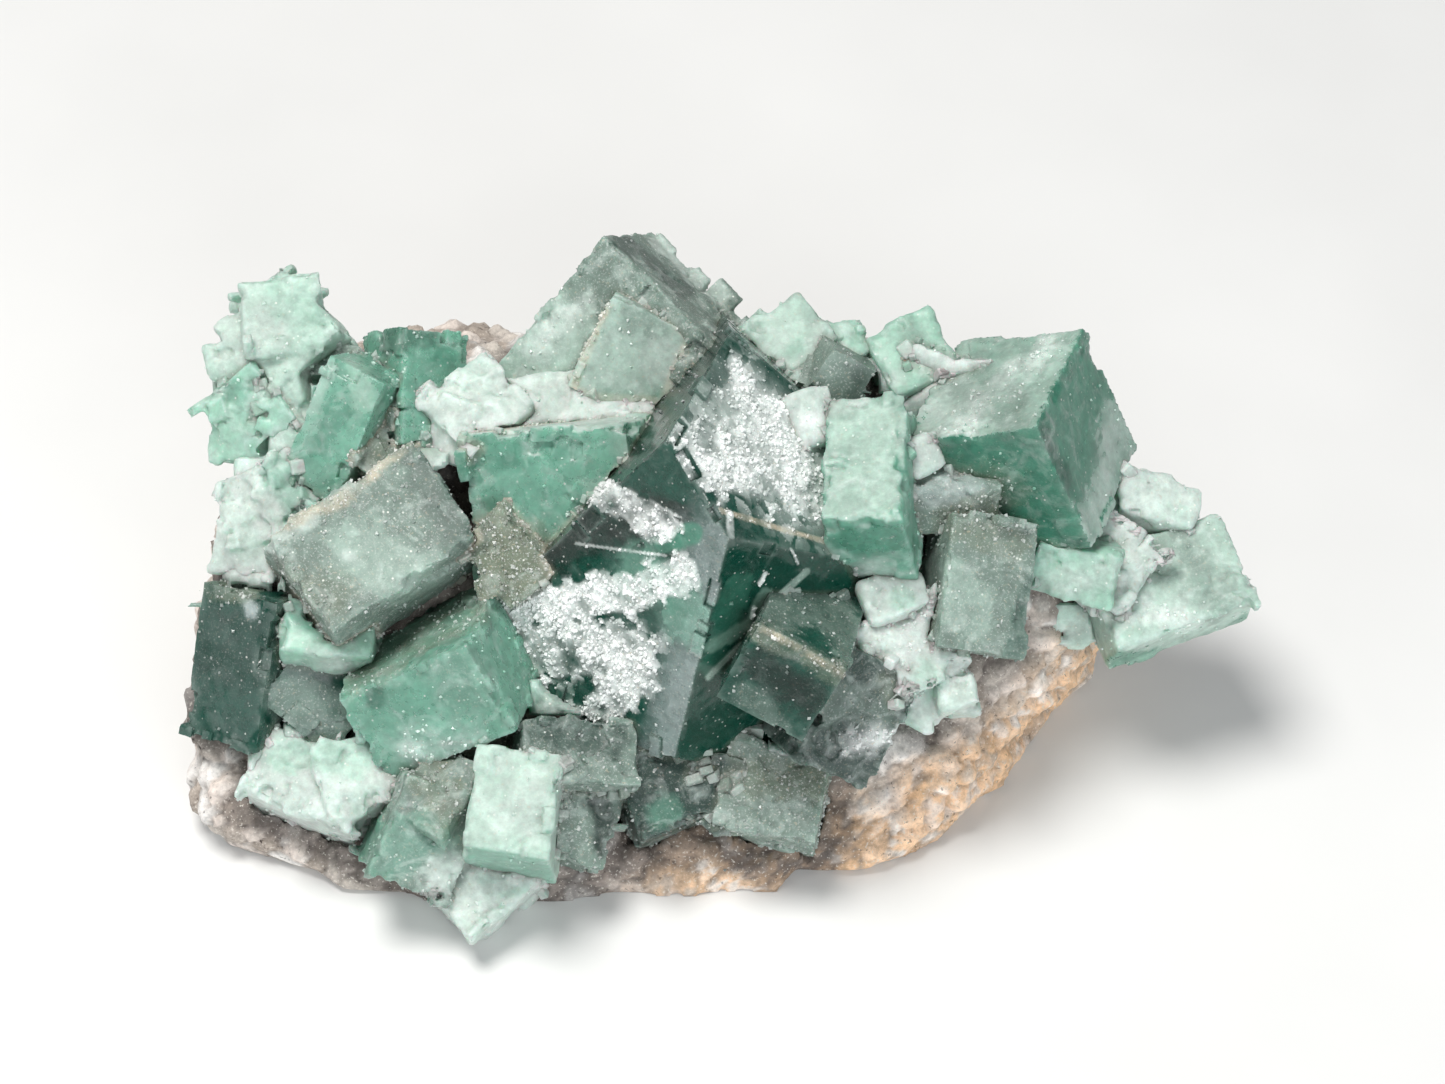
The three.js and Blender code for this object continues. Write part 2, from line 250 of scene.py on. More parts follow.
def strokeLine(along, across, up):
    # the stroke's points, from shares of the piece's width and height
    line = []
    for x, y in along:
        line.append((across.min() + x * np.ptp(across), up.min() + y * np.ptp(up)))
    return line


def paintPiece(points, normals, look, seed):
    across = points @ faceRight
    up = points @ faceUp
    body = tones[look["body"]]
    colour = np.tile(np.array(body["colour"]), (len(points), 1))
    frost = np.full(len(points), body["frost"])
    thickness = np.full(len(points), body["druse"])
    fine = layeredNoise(points, brush["fineSize"] * mm, seed + 11, 3)
    broad = layeredNoise(points, brush["broadSize"] * mm, seed + 23, 2)
    blocky = cellLumps(points, brush["blockSize"] * mm, seed + 27)[1] - 0.5
    for s in look["strokes"]:
        tone = tones[s["tone"]]
        mask = np.ones(len(points))
        if s["along"]:
            away = distanceToLine(across, up, strokeLine(s["along"], across, up)) / (s["reach"] * mm)
            ragged = (brush["broad"] * broad + brush["blocks"] * blocky) * min(1, s["reach"])
            ragged = ragged + brush["fine"] * fine
            away = away + ragged * (0.7 + 0.6 * tone["patchy"])
            mask = smoothStep(1 - away, 0, s["soft"])
        if s["side"] is not None:
            mask = mask * smoothStep(normals @ sideDirection(s["side"]), *brush["facing"])
        mask = mask * np.clip(1 - tone["patchy"] * (0.35 - 1.1 * fine), 0, 1) * s["amount"]
        addTone(colour, frost, thickness, tone, mask)
    return colour, frost, thickness


crystalMesh = {
    "spacing": 0.34,  # mm between the points of a crystal's surface
    "finest": 0.20,  # the same on the largest crystal
    "grow": 0.28,  # mm, closes the gap that the frame keeps between neighbours
    "steps": 0.10,  # mm, height of the growth steps
    "grit": 0.06,  # mm, roughness of frosted skin
    "snowHeight": 0.30,  # mm, how proud thick druse stands
    "chips": 0.30,  # mm, how deep the nicks along its edges go
    "seam": 1.1,  # mm, how wide the dust lies along a contact
    "sharpest": math.radians(32),  # an edge sharper than this is one of the crystal's own
    "smoothWithin": math.radians(38),  # the shading rounds off edges flatter than this
    "flatWithin": math.radians(0.8),  # the frame's triangles join into one face up to this
    "weld": 0.002,  # mm
    "longestMove": 1.8,  # times `grow`, at a sharp corner
}
# how wide the patterns on a crystal are, mm
patternSizes = {
    "swell": 4.5,
    "terraces": 4.0,
    "grit": 0.5,
    "snow": 1.0,
    "chips": 1.8,
    "paleEdges": 1.5,
    "mottle": 2.4,
}
# how much each finish rounds the crystal's edges (smoothing passes) and swells its faces (mm)
wornShapes = {
    "dark_green": {"rounding": 0, "swell": 0.05, "chips": 0.8, "steps": 0.7, "ledges": 0.25},
    "green": {"rounding": 1, "swell": 0.12, "chips": 1.2, "steps": 1.0, "ledges": 0.35},
    "mint": {"rounding": 5, "swell": 0.26, "chips": 1.6, "steps": 0.8, "ledges": 0.45},
    "cloudy": {"rounding": 9, "swell": 0.45, "chips": 1.8, "steps": 0.6, "ledges": 0.8},
    "frosted": {"rounding": 3, "swell": 0.20, "chips": 1.6, "steps": 1.2, "ledges": 0.4},
}


def joinFlatFaces(bm):
    bmesh.ops.dissolve_limit(bm, angle_limit=crystalMesh["flatWithin"], verts=bm.verts, edges=bm.edges)


def cleanCopy(name, node, grow):
    # the frame's node as whole flat faces, a little larger
    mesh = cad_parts[node].data.copy()
    mesh.name = name
    bm = bmesh.new()
    bm.from_mesh(mesh)
    bmesh.ops.remove_doubles(bm, verts=bm.verts, dist=crystalMesh["weld"] * mm)
    joinFlatFaces(bm)
    bm.normal_update()
    longest = crystalMesh["longestMove"]
    moves = [v.normal * min(v.calc_shell_factor(), longest) * grow for v in bm.verts]
    for v, move in zip(bm.verts, moves):
        v.co += move
    bmesh.ops.triangulate(bm, faces=bm.faces)
    bm.to_mesh(mesh)
    bm.free()
    mesh.materials.clear()
    return mesh


# small blocks that stand on the faces' edges, and notches cut out of them, as fluorite grows in steps
ledges = {
    "perEdge": 0.32,  # how many on a millimetre of edge
    "along": (0.8, 3.4),  # mm
    "inward": (0.7, 2.6),
    "rise": (0.10, 0.42),  # mm out of the face
    "notch": (0.15, 0.55),  # mm into it
    "overhang": 0.30,  # mm that a block stands past the edge
    "past": 1.0,  # mm that a notch's cutter stands past it
    "hidden": 0.8,  # mm of a block that lies inside the crystal, or of a cutter outside it
    "narrower": 0.6,  # a notch is this much of a block's depth
    "blockShare": 0.5,  # the rest are notches
    "smallestFace": 8,  # square mm, smaller faces have none
    "between": (0.05, 0.95),  # how far along the edge they may stand, as a share
}


def ledgeBox(face, loop, rng):
    # one block or notch on an edge of a face: its centre and three sides
    start, end = loop.vert.co, loop.link_loop_next.vert.co
    along = (end - start).normalized()
    inward = face.normal.cross(along)
    middle = start.lerp(end, rng.uniform(*ledges["between"]))
    wide = rng.uniform(*ledges["along"]) * mm
    deep = rng.uniform(*ledges["inward"]) * mm
    isBlock = rng.random() < ledges["blockShare"]
    if isBlock:
        rise = rng.uniform(*ledges["rise"]) * mm
        sink = ledges["hidden"] * mm
        shelf = ledges["overhang"] * mm
    else:
        rise = ledges["hidden"] * mm
        sink = rng.uniform(*ledges["notch"]) * mm
        shelf = ledges["past"] * mm
        deep *= ledges["narrower"]
    centre = middle + inward * (deep / 2 - shelf / 2) + face.normal * (rise - sink) / 2
    return isBlock, (centre, along * wide, inward * (deep + shelf), face.normal * (rise + sink))


def ledgeBoxes(mesh, rng, amount):
    # the blocks and the notches along the edges of every broad face
    blocks, notches = [], []
    bm = bmesh.new()
    bm.from_mesh(mesh)
    joinFlatFaces(bm)
    for face in bm.faces:
        if face.calc_area() < ledges["smallestFace"] * mm ** 2:
            continue
        for loop in face.loops:
            length = (loop.link_loop_next.vert.co - loop.vert.co).length / mm
            for _ in range(rng.poisson(length * ledges["perEdge"] * amount)):
                isBlock, box = ledgeBox(face, loop, rng)
                (blocks if isBlock else notches).append(box)
    bm.free()
    return blocks, notches


def boxesObject(name, boxes):
    bm = bmesh.new()
    for centre, a, b, c in boxes:
        turned = Matrix((a, b, c)).transposed().to_4x4()
        turned.translation = centre
        bmesh.ops.create_cube(bm, size=1, matrix=turned)
    bmesh.ops.recalc_face_normals(bm, faces=bm.faces)
    mesh = bpy.data.meshes.new(name)
    bm.to_mesh(mesh)
    bm.free()
    return newObject(name, mesh)


def addLedges(obj, rng, amount):
    blocks, notches = ledgeBoxes(obj.data, rng, amount)
    for boxes, operation in ((notches, "DIFFERENCE"), (blocks, "UNION")):
        if not boxes:
            continue
        tool = boxesObject("ledges", boxes)
        modifier = obj.modifiers.new("ledges", "BOOLEAN")
        modifier.object = tool
        modifier.operation = operation
        modifier.solver = "EXACT"
        modifier.use_self = True
        applyModifiers(obj)
        bpy.data.objects.remove(tool)


def remeshSharp(obj, spacing):
    fill = 0.9  # how much of the grid the crystal takes
    depth = round(math.log2(max(obj.dimensions) / fill / (spacing * mm)))
    modifier = obj.modifiers.new("fine surface", "REMESH")
    modifier.mode = "SHARP"
    modifier.octree_depth = max(4, min(8, depth))
    modifier.scale = fill
    modifier.use_remove_disconnected = True
    applyModifiers(obj)


def applyModifiers(obj):
    bpy.context.view_layer.update()
    graph = bpy.context.evaluated_depsgraph_get()
    mesh = bpy.data.meshes.new_from_object(obj.evaluated_get(graph))
    old = obj.data
    obj.modifiers.clear()
    obj.data = mesh
    bpy.data.meshes.remove(old)


def edgeArrays(mesh):
    pairs = np.zeros(len(mesh.edges) * 2, dtype=np.int64)
    mesh.edges.foreach_get("vertices", pairs)
    return pairs.reshape(-1, 2)


def neighbourAverage(pairs, values):
    # for each point, the average of the points joined to it
    count = len(values)
    joined = np.bincount(pairs.ravel(), minlength=count)
    total = np.zeros(values.shape)
    for column in range(values.shape[1]):
        total[:, column] += np.bincount(pairs[:, 0], values[pairs[:, 1], column], count)
        total[:, column] += np.bincount(pairs[:, 1], values[pairs[:, 0], column], count)
    return total / np.maximum(joined, 1)[:, None]


def markEdges(mesh, angle):
    # 1 on the crystal's edges and corners, fading over the next points
    bm = bmesh.new()
    bm.from_mesh(mesh)
    values = np.zeros((len(bm.verts), 1))
    for edge in bm.edges:
        if len(edge.link_faces) == 2 and edge.calc_face_angle(0) > angle:
            values[edge.verts[0].index] = 1
            values[edge.verts[1].index] = 1
    bm.free()
    pairs = edgeArrays(mesh)
    for _ in range(2):
        values = np.maximum(values, neighbourAverage(pairs, values))
    return values[:, 0]


def shadeByAngle(mesh, angle):
    bm = bmesh.new()
    bm.from_mesh(mesh)
    for edge in bm.edges:
        edge.smooth = len(edge.link_faces) == 2 and edge.calc_face_angle(0) < angle
    for face in bm.faces:
        face.smooth = True
    bm.to_mesh(mesh)
    bm.free()


def roundEdges(mesh, passes):
    # each pass moves every point part of the way to the middle of its neighbours
    part = 0.6
    pairs = edgeArrays(mesh)
    points = coordinates(mesh)
    for _ in range(passes):
        points = points + (neighbourAverage(pairs, points) - points) * part
    setCoordinates(mesh, points)


def frameTree(leftOut):
    # the other nodes of the frame, to find what lies near; the rock's faces come last
    points, faces = [], []
    for name in sorted(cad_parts, key=lambda n: (n == "rock_matrix", n)):
        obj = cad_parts[name]
        if name == leftOut:
            continue
        start = len(points)
        points += [v.co.copy() for v in obj.data.vertices]
        faces += [[start + i for i in p.vertices] for p in obj.data.polygons]
    return BVHTree.FromPolygons(points, faces)


def nearness(tree, points, reach):
    values = np.zeros(len(points))
    for i, p in enumerate(points):
        hit = tree.find_nearest(p, reach)
        if hit[3] is not None:
            values[i] = 1 - hit[3] / reach
    return values


# the tiny crystals that grow on the large ones, as corners and faces
grainShapes = {
    "octahedron": (
        [(1, 0, 0), (-1, 0, 0), (0, 1, 0), (0, -1, 0), (0, 0, 1), (0, 0, -1)],
        [(0, 2, 4), (2, 1, 4), (1, 3, 4), (3, 0, 4), (2, 0, 5), (1, 2, 5), (3, 1, 5), (0, 3, 5)],
    ),
}


def randomTurns(rng, count):
    q = rng.normal(size=(count, 4))
    q /= np.linalg.norm(q, axis=1)[:, None]
    w, x, y, z = q.T
    return np.stack([
        np.stack([1 - 2 * (y * y + z * z), 2 * (x * y - z * w), 2 * (x * z + y * w)], 1),
        np.stack([2 * (x * y + z * w), 1 - 2 * (x * x + z * z), 2 * (y * z - x * w)], 1),
        np.stack([2 * (x * z - y * w), 2 * (y * z + x * w), 1 - 2 * (x * x + y * y)], 1),
    ], 1)


def wornCube():
    # a cube with its edges cut off, as points and faces
    side, cutOff = 1.5, 0.16
    bm = bmesh.new()
    bmesh.ops.create_cube(bm, size=side)
    bmesh.ops.bevel(bm, geom=bm.edges[:] + bm.verts[:], offset=cutOff, segments=1, affect="EDGES")
    bmesh.ops.triangulate(bm, faces=bm.faces)
    points = [tuple(v.co) for v in bm.verts]
    faces = [tuple(v.index for v in f.verts) for f in bm.faces]
    bm.free()
    return points, faces


grainShapes["cube"] = wornCube()
grainStretch = (0.6, 1.25)
grainRise = 0.25  # how far a grain stands out of the surface, in grain sizes
skin = 0.05  # mm above the surface, where the look for free room starts


def grainMesh(name, places, normals, sizes, colours, rng, shape="octahedron"):
    points, faces = grainShapes[shape]
    base = np.array(points, dtype=float)
    turns = randomTurns(rng, len(places))
    stretch = rng.uniform(*grainStretch, size=(len(places), 1, 3))
    local = (base[None] * stretch) @ turns.transpose(0, 2, 1)
    world = places[:, None] + normals[:, None] * sizes[:, None, None] * grainRise
    world = world + local * sizes[:, None, None]
    shift = (np.arange(len(places)) * len(base))[:, None, None]
    allFaces = (np.array(faces)[None] + shift).reshape(-1, len(faces[0]))
    mesh = meshFromArrays(name, world.reshape(-1, 3), allFaces)
    storeColour(mesh, "tint", np.repeat(colours, len(base), axis=0))
    return mesh


def freeFaces(mesh, look, share, tree, rng):
    # the faces that small crystals grow on: more where `share` is larger, none right below another piece
    centres, normals, areas = faceCentres(mesh)
    wanted = areas / mm ** 2 * look["perSquare"] * share
    chosen = np.flatnonzero(rng.random(len(wanted)) < wanted)
    chosen = rng.permutation(chosen)[:look["most"]]
    free = []
    for i in chosen:
        start = Vector(centres[i]) + Vector(normals[i]) * skin * mm
        if tree.ray_cast(start, Vector(normals[i]), look["clearance"] * mm)[0] is None:
            free.append(i)
    free = np.array(free, dtype=np.int64)
    return free, centres[free], normals[free]


def faceCentres(mesh):
    count = len(mesh.polygons)
    centres = np.zeros(count * 3)
    normals = np.zeros(count * 3)
    areas = np.zeros(count)
    mesh.polygons.foreach_get("center", centres)
    mesh.polygons.foreach_get("normal", normals)
    mesh.polygons.foreach_get("area", areas)
    return centres.reshape(-1, 3), normals.reshape(-1, 3), areas


def faceAverages(mesh, values):
    sizes = np.zeros(len(mesh.polygons), dtype=np.int64)
    starts = np.zeros(len(mesh.polygons), dtype=np.int64)
    corners = np.zeros(len(mesh.loops), dtype=np.int64)
    mesh.polygons.foreach_get("loop_total", sizes)
    mesh.polygons.foreach_get("loop_start", starts)
    mesh.loops.foreach_get("vertex_index", corners)
    return np.add.reduceat(values[corners], starts, axis=0) / sizes.reshape((-1,) + (1,) * (values.ndim - 1))


druse = {
    "perSquare": 13.0,  # grains on a square millimetre where the druse is thickest
    "smallest": 0.06,  # mm
    "largest": 0.34,  # mm
    "clearance": 0.8,  # mm of free room that a grain needs above it
    "white": (0.96, 0.97, 0.96),
    "fewest": 12,  # a crystal with fewer has none
    "most": 14000,
    "gathered": 1.5,  # the higher, the more they keep to the thick patches
    "fineness": 2.5,  # the higher, the more of them are small
    "whiteness": (0.15, 0.95),
}


def growDruse(host, node, thickness, colours, tree, seed):
    rng = np.random.default_rng(seed)
    dense = faceAverages(host.data, thickness)
    free, centres, normals = freeFaces(host.data, druse, dense ** druse["gathered"], tree, rng)
    if len(free) < druse["fewest"]:
        return None
    tints = faceAverages(host.data, colours)[free]
    dense = dense[free]
    span = druse["largest"] - druse["smallest"]
    sizes = (druse["smallest"] + span * rng.random(len(free)) ** druse["fineness"]) * mm
    sizes *= 0.75 + 0.5 * dense
    white = rng.uniform(*druse["whiteness"], size=(len(free), 1)) * (0.4 + 0.6 * dense)[:, None]
    tint = tints * (1 - white) + np.array(druse["white"]) * white
    mesh = grainMesh("druse_" + node, centres, normals, sizes, tint, rng)
    mesh.materials.append(druseMaterial)
    piece = newObject("druse_on_" + node, mesh)
    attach(piece, "root")
    return piece


# small crystals wedged into the corners where two large ones meet
infill = {
    "perSquare": 0.85,
    "smallest": 0.30,  # mm, half a cube's side
    "largest": 1.05,
    "clearance": 2.5,  # mm
    "paler": 0.35,
    "most": 500,
    "gathered": 2,
    "fineness": 3,
}
wedged = {}  # the small crystals of each finish


def growInfill(host, slot, seam, colours, tree, seed):
    rng = np.random.default_rng(seed + 1000)
    near = faceAverages(host.data, seam)
    free, centres, normals = freeFaces(host.data, infill, near ** infill["gathered"], tree, rng)
    if not len(free):
        return
    span = infill["largest"] - infill["smallest"]
    sizes = (infill["smallest"] + span * rng.random(len(free)) ** infill["fineness"]) * mm
    pale = rng.uniform(0, 2 * infill["paler"], size=(len(free), 1))
    tint = faceAverages(host.data, colours)[free] * (1 - pale) + np.array(tones["cloud"]["colour"]) * pale
    wedged.setdefault(slot, []).append((centres, -normals, sizes, tint))


def makeInfill():
    # one piece for each finish
    for slot, groups in sorted(wedged.items()):
        places, normals, sizes, tint = (np.concatenate(part) for part in zip(*groups))
        rng = np.random.default_rng(len(places))
        mesh = grainMesh("infill", places, normals, sizes, tint, rng, "cube")
        storeValue(mesh, "frost", np.full(len(mesh.vertices), 0.5))
        mesh.materials.append(crystalMaterials[slot])
        piece = newObject("small_crystals_" + slot, mesh)
        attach(piece, "root")


def nodeMaterial(name):
    material = bpy.data.materials.new(name)
    material.use_nodes = True
    tree = material.node_tree
    shader = tree.nodes["Principled BSDF"]
    return material, tree, shader


def addNode(tree, kind, **values):
    node = tree.nodes.new(kind)
    for key, value in values.items():
        setattr(node, key, value)
    return node


def noiseNode(tree, size, detail, roughness=0.55, distortion=0.0):
    # `size` is the width of its bumps in millimetres
    place = addNode(tree, "ShaderNodeTexCoord")
    noise = addNode(tree, "ShaderNodeTexNoise")
    noise.inputs["Scale"].default_value = 1 / (size * mm)
    noise.inputs["Detail"].default_value = detail
    noise.inputs["Roughness"].default_value = roughness
    noise.inputs["Distortion"].default_value = distortion
    tree.links.new(place.outputs["Object"], noise.inputs["Vector"])
    return noise.outputs["Fac"]


def spread(tree, value, fromLow, fromHigh, toLow, toHigh):
    node = addNode(tree, "ShaderNodeMapRange")
    node.inputs["From Min"].default_value = fromLow
    node.inputs["From Max"].default_value = fromHigh
    node.inputs["To Min"].default_value = toLow
    node.inputs["To Max"].default_value = toHigh
    tree.links.new(value, node.inputs["Value"])
    return node.outputs["Result"]


def mathNode(tree, operation, first, second):
    node = addNode(tree, "ShaderNodeMath", operation=operation, use_clamp=False)
    for socket, value in zip(node.inputs, (first, second)):
        if isinstance(value, (int, float)):
            socket.default_value = value
        else:
            tree.links.new(value, socket)
    return node.outputs["Value"]


def mixColour(tree, share, first, second, blend="MIX"):
    node = addNode(tree, "ShaderNodeMix", data_type="RGBA", blend_type=blend)
    for socket, value in ((node.inputs[0], share), (node.inputs[6], first), (node.inputs[7], second)):
        if isinstance(value, (int, float)):
            socket.default_value = value
        elif isinstance(value, tuple):
            socket.default_value = (*value, 1.0)
        else:
            tree.links.new(value, socket)
    return node.outputs[2]


def attribute(tree, name, output):
    node = addNode(tree, "ShaderNodeAttribute", attribute_name=name)
    return node.outputs[output]


# roughness where clear and where frosted, inner glow, how see-through it is, pale wisps, dust
fluoriteFinishes = {
    "fluorite_dark_green": {
        "gloss": 0.08, "frosted": 0.50, "glow": 0.10, "clear": 0.35, "veil": 0.08, "dust": 0.60,
    },
    "fluorite_green": {
        "gloss": 0.14, "frosted": 0.55, "glow": 0.40, "clear": 0.45, "veil": 0.35, "dust": 0.45,
    },
    "fluorite_mint": {
        "gloss": 0.18, "frosted": 0.58, "glow": 0.60, "clear": 0.40, "veil": 0.45, "dust": 0.30,
    },
    "fluorite_cloudy": {
        "gloss": 0.22, "frosted": 0.62, "glow": 0.70, "clear": 0.30, "veil": 0.50, "dust": 0.30,
    },
    "fluorite_frosted": {
        "gloss": 0.20, "frosted": 0.66, "glow": 0.35, "clear": 0.30, "veil": 0.35, "dust": 0.55,
    },
}
veilColour = (0.80, 0.90, 0.85)
dustColour = (0.78, 0.80, 0.76)
tanDustColour = (0.60, 0.50, 0.36)
speckColour = (0.86, 0.88, 0.82)
speckApart = 0.8  # mm
glowRadius = (0.5, 1.0, 0.8)
glowDepth = 2.0  # mm
fluoriteIor = 1.434
usualNoise = (0.3, 0.7)  # nearly all of a noise texture's values lie between these


def mottled(tree, colour, noise, darkest, brightest):
    grey = spread(tree, noise, *usualNoise, darkest, brightest)
    return mixColour(tree, 1.0, colour, combineGrey(tree, grey), "MULTIPLY")


def addBump(tree, shader, height, strength, depth):
    bump = addNode(tree, "ShaderNodeBump")
    bump.inputs["Strength"].default_value = strength
    bump.inputs["Distance"].default_value = depth * mm
    tree.links.new(height, bump.inputs["Height"])
    tree.links.new(bump.outputs["Normal"], shader.inputs["Normal"])


def fluoriteMaterial(name, look):
    material, tree, shader = nodeMaterial(name)
    tint = attribute(tree, "tint", "Color")
    frost = attribute(tree, "frost", "Fac")
    # wisps inside the crystal
    wisps = spread(tree, noiseNode(tree, 3.2, 6, 0.62, 1.4), 0.50, 0.74, 0, look["veil"])
    colour = mixColour(tree, wisps, tint, veilColour)
    # mottling
    colour = mottled(tree, colour, noiseNode(tree, 0.9, 5, 0.65), 0.80, 1.18)
    # pale and tan dust
    specks = spread(tree, noiseNode(tree, 0.22, 3, 0.6), 0.56, 0.66, 0, 1)
    dusted = mathNode(tree, "MULTIPLY", specks, mathNode(tree, "MULTIPLY", frost, look["dust"]))
    colour = mixColour(tree, dusted, colour, dustColour)
    tanSpecks = spread(tree, noiseNode(tree, 0.34, 2, 0.5), 0.64, 0.70, 0, 1)
    tanned = mathNode(tree, "MULTIPLY", tanSpecks, mathNode(tree, "MULTIPLY", frost, 0.55))
    colour = mixColour(tree, tanned, colour, tanDustColour)
    # bright specks scattered over everything
    cells = addNode(tree, "ShaderNodeTexVoronoi")
    cells.inputs["Scale"].default_value = 1 / (speckApart * mm)
    tree.links.new(addNode(tree, "ShaderNodeTexCoord").outputs["Object"], cells.inputs["Vector"])
    dots = spread(tree, cells.outputs["Distance"], 0.10, 0.17, 0.75, 0)
    some = spread(tree, noiseNode(tree, 2.5, 3), 0.45, 0.60, 0.15, 1)
    colour = mixColour(tree, mathNode(tree, "MULTIPLY", dots, some), colour, speckColour)
    tree.links.new(colour, shader.inputs["Base Color"])
    rough = spread(tree, frost, 0, 0.8, look["gloss"], look["frosted"])
    smear = spread(tree, noiseNode(tree, 1.8, 4, 0.6), *usualNoise, -0.05, 0.08)
    tree.links.new(mathNode(tree, "ADD", rough, smear), shader.inputs["Roughness"])
    # fine relief: soft on clear faces, gritty on frosted ones
    grit = mathNode(tree, "MULTIPLY", noiseNode(tree, 0.30, 6, 0.7), frost)
    satin = mathNode(tree, "MULTIPLY", noiseNode(tree, 1.4, 3, 0.5), 0.25)
    addBump(tree, shader, mathNode(tree, "ADD", grit, satin), 0.55, 0.16)
    shader.inputs["IOR"].default_value = fluoriteIor
    # clear where it isn't frosted
    tree.links.new(spread(tree, frost, 0.1, 0.8, look["clear"], 0), shader.inputs["Transmission Weight"])
    shader.inputs["Subsurface Weight"].default_value = look["glow"]
    shader.inputs["Subsurface Radius"].default_value = glowRadius
    shader.inputs["Subsurface Scale"].default_value = glowDepth * mm
    return material


def combineGrey(tree, value):
    node = addNode(tree, "ShaderNodeCombineColor")
    for socket in node.inputs:
        tree.links.new(value, socket)
    return node.outputs["Color"]


def makeDruseMaterial():
    material, tree, shader = nodeMaterial("druse")
    tint = attribute(tree, "tint", "Color")
    colour = mottled(tree, tint, noiseNode(tree, 0.25, 4, 0.6), 0.82, 1.12)
    tree.links.new(colour, shader.inputs["Base Color"])
    gloss = spread(tree, noiseNode(tree, 0.4, 3), *usualNoise, 0.18, 0.45)
    tree.links.new(gloss, shader.inputs["Roughness"])
    shader.inputs["IOR"].default_value = fluoriteIor
    return material


druseMaterial = makeDruseMaterial()
crystalMaterials = {slot: fluoriteMaterial(slot, look) for slot, look in fluoriteFinishes.items()}
print("materials made")


painted = []  # points and colours of every crystal, for the crust that grows between them


def reliefHeight(points, nearEdge, frost, thickness, look, seed):
    # how far each point of a crystal moves out, in mm
    worn = wornShapes[look["finish"]]
    swell = worn["swell"] * layeredNoise(points, patternSizes["swell"] * mm, seed + 31, 3)
    terraces = layeredNoise(points, patternSizes["terraces"] * mm, seed + 41, 2) * 5
    treads = np.floor(terraces) + smoothStep(terraces % 1, 0.75, 1)
    steps = crystalMesh["steps"] * look.get("steps", worn["steps"]) * treads / 3
    grit = crystalMesh["grit"] * frost * softNoise(points, patternSizes["grit"] * mm, seed + 51)
    lumps = 0.5 + 0.8 * layeredNoise(points, patternSizes["snow"] * mm, seed + 61, 2)
    snow = crystalMesh["snowHeight"] * smoothStep(thickness, 0.35, 0.9) * lumps
    nick = smoothStep(layeredNoise(points, patternSizes["chips"] * mm, seed + 71), 0.1, 0.6)
    chips = -crystalMesh["chips"] * nearEdge * nick * look.get("chips", worn["chips"])
    return swell + steps + grit + snow + chips


def makeCrystal(node, look):
    seed = 1 + sorted(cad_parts).index(node)
    slot = "fluorite_" + look["finish"]
    worn = wornShapes[look["finish"]]
    obj = newObject(node + "_crystal", cleanCopy(node + "_crystal", node, crystalMesh["grow"] * mm))
    addLedges(obj, np.random.default_rng(seed + 500), look.get("ledges", worn["ledges"]))
    remeshSharp(obj, crystalMesh["finest"] if node == "largest_crystal" else crystalMesh["spacing"])
    mesh = obj.data
    nearEdge = markEdges(mesh, crystalMesh["sharpest"])
    roundEdges(mesh, look.get("rounding", worn["rounding"]))
    points = coordinates(mesh)
    normals = vertexNormals(mesh)
    colour, frost, thickness = paintPiece(points, normals, look, seed)
    # dust along the contacts with its neighbours
    tree = frameTree(node)
    seam = smoothStep(nearness(tree, points, crystalMesh["seam"] * mm), 0.15, 0.75)
    seamTone = tones[look.get("seam", "olive")]
    addTone(colour, frost, thickness, seamTone, seam * look.get("seamAmount", 0.45))
    # paler edges: partly worn, frosted edges, partly a painted highlight along them
    lightEdge = smoothStep(layeredNoise(points, patternSizes["paleEdges"] * mm, seed + 5), -0.5, 0.4)
    mixIn(colour, tones["cloud"]["colour"], nearEdge * look.get("paleEdges", 0.25) * lightEdge * 0.7)
    height = reliefHeight(points, nearEdge, frost, thickness, look, seed)
    points = points + normals * (height * mm)[:, None]
    setCoordinates(mesh, points)
    shadeByAngle(mesh, crystalMesh["smoothWithin"])
    mottle = layeredNoise(points, patternSizes["mottle"] * mm, seed + 81, 3)
    colour = colour * (1 + 0.22 * mottle)[:, None]
    storeColour(mesh, "tint", np.clip(colour, 0, 1))
    storeValue(mesh, "frost", np.clip(frost, 0, 1))
    mesh.materials.append(crystalMaterials[slot])
    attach(obj, "root")
    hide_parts(node)
    growDruse(obj, node, thickness * look.get("grains", 1.0), colour, tree, seed)
    growInfill(obj, slot, seam, colour, tree, seed)
    painted.append((points, colour))


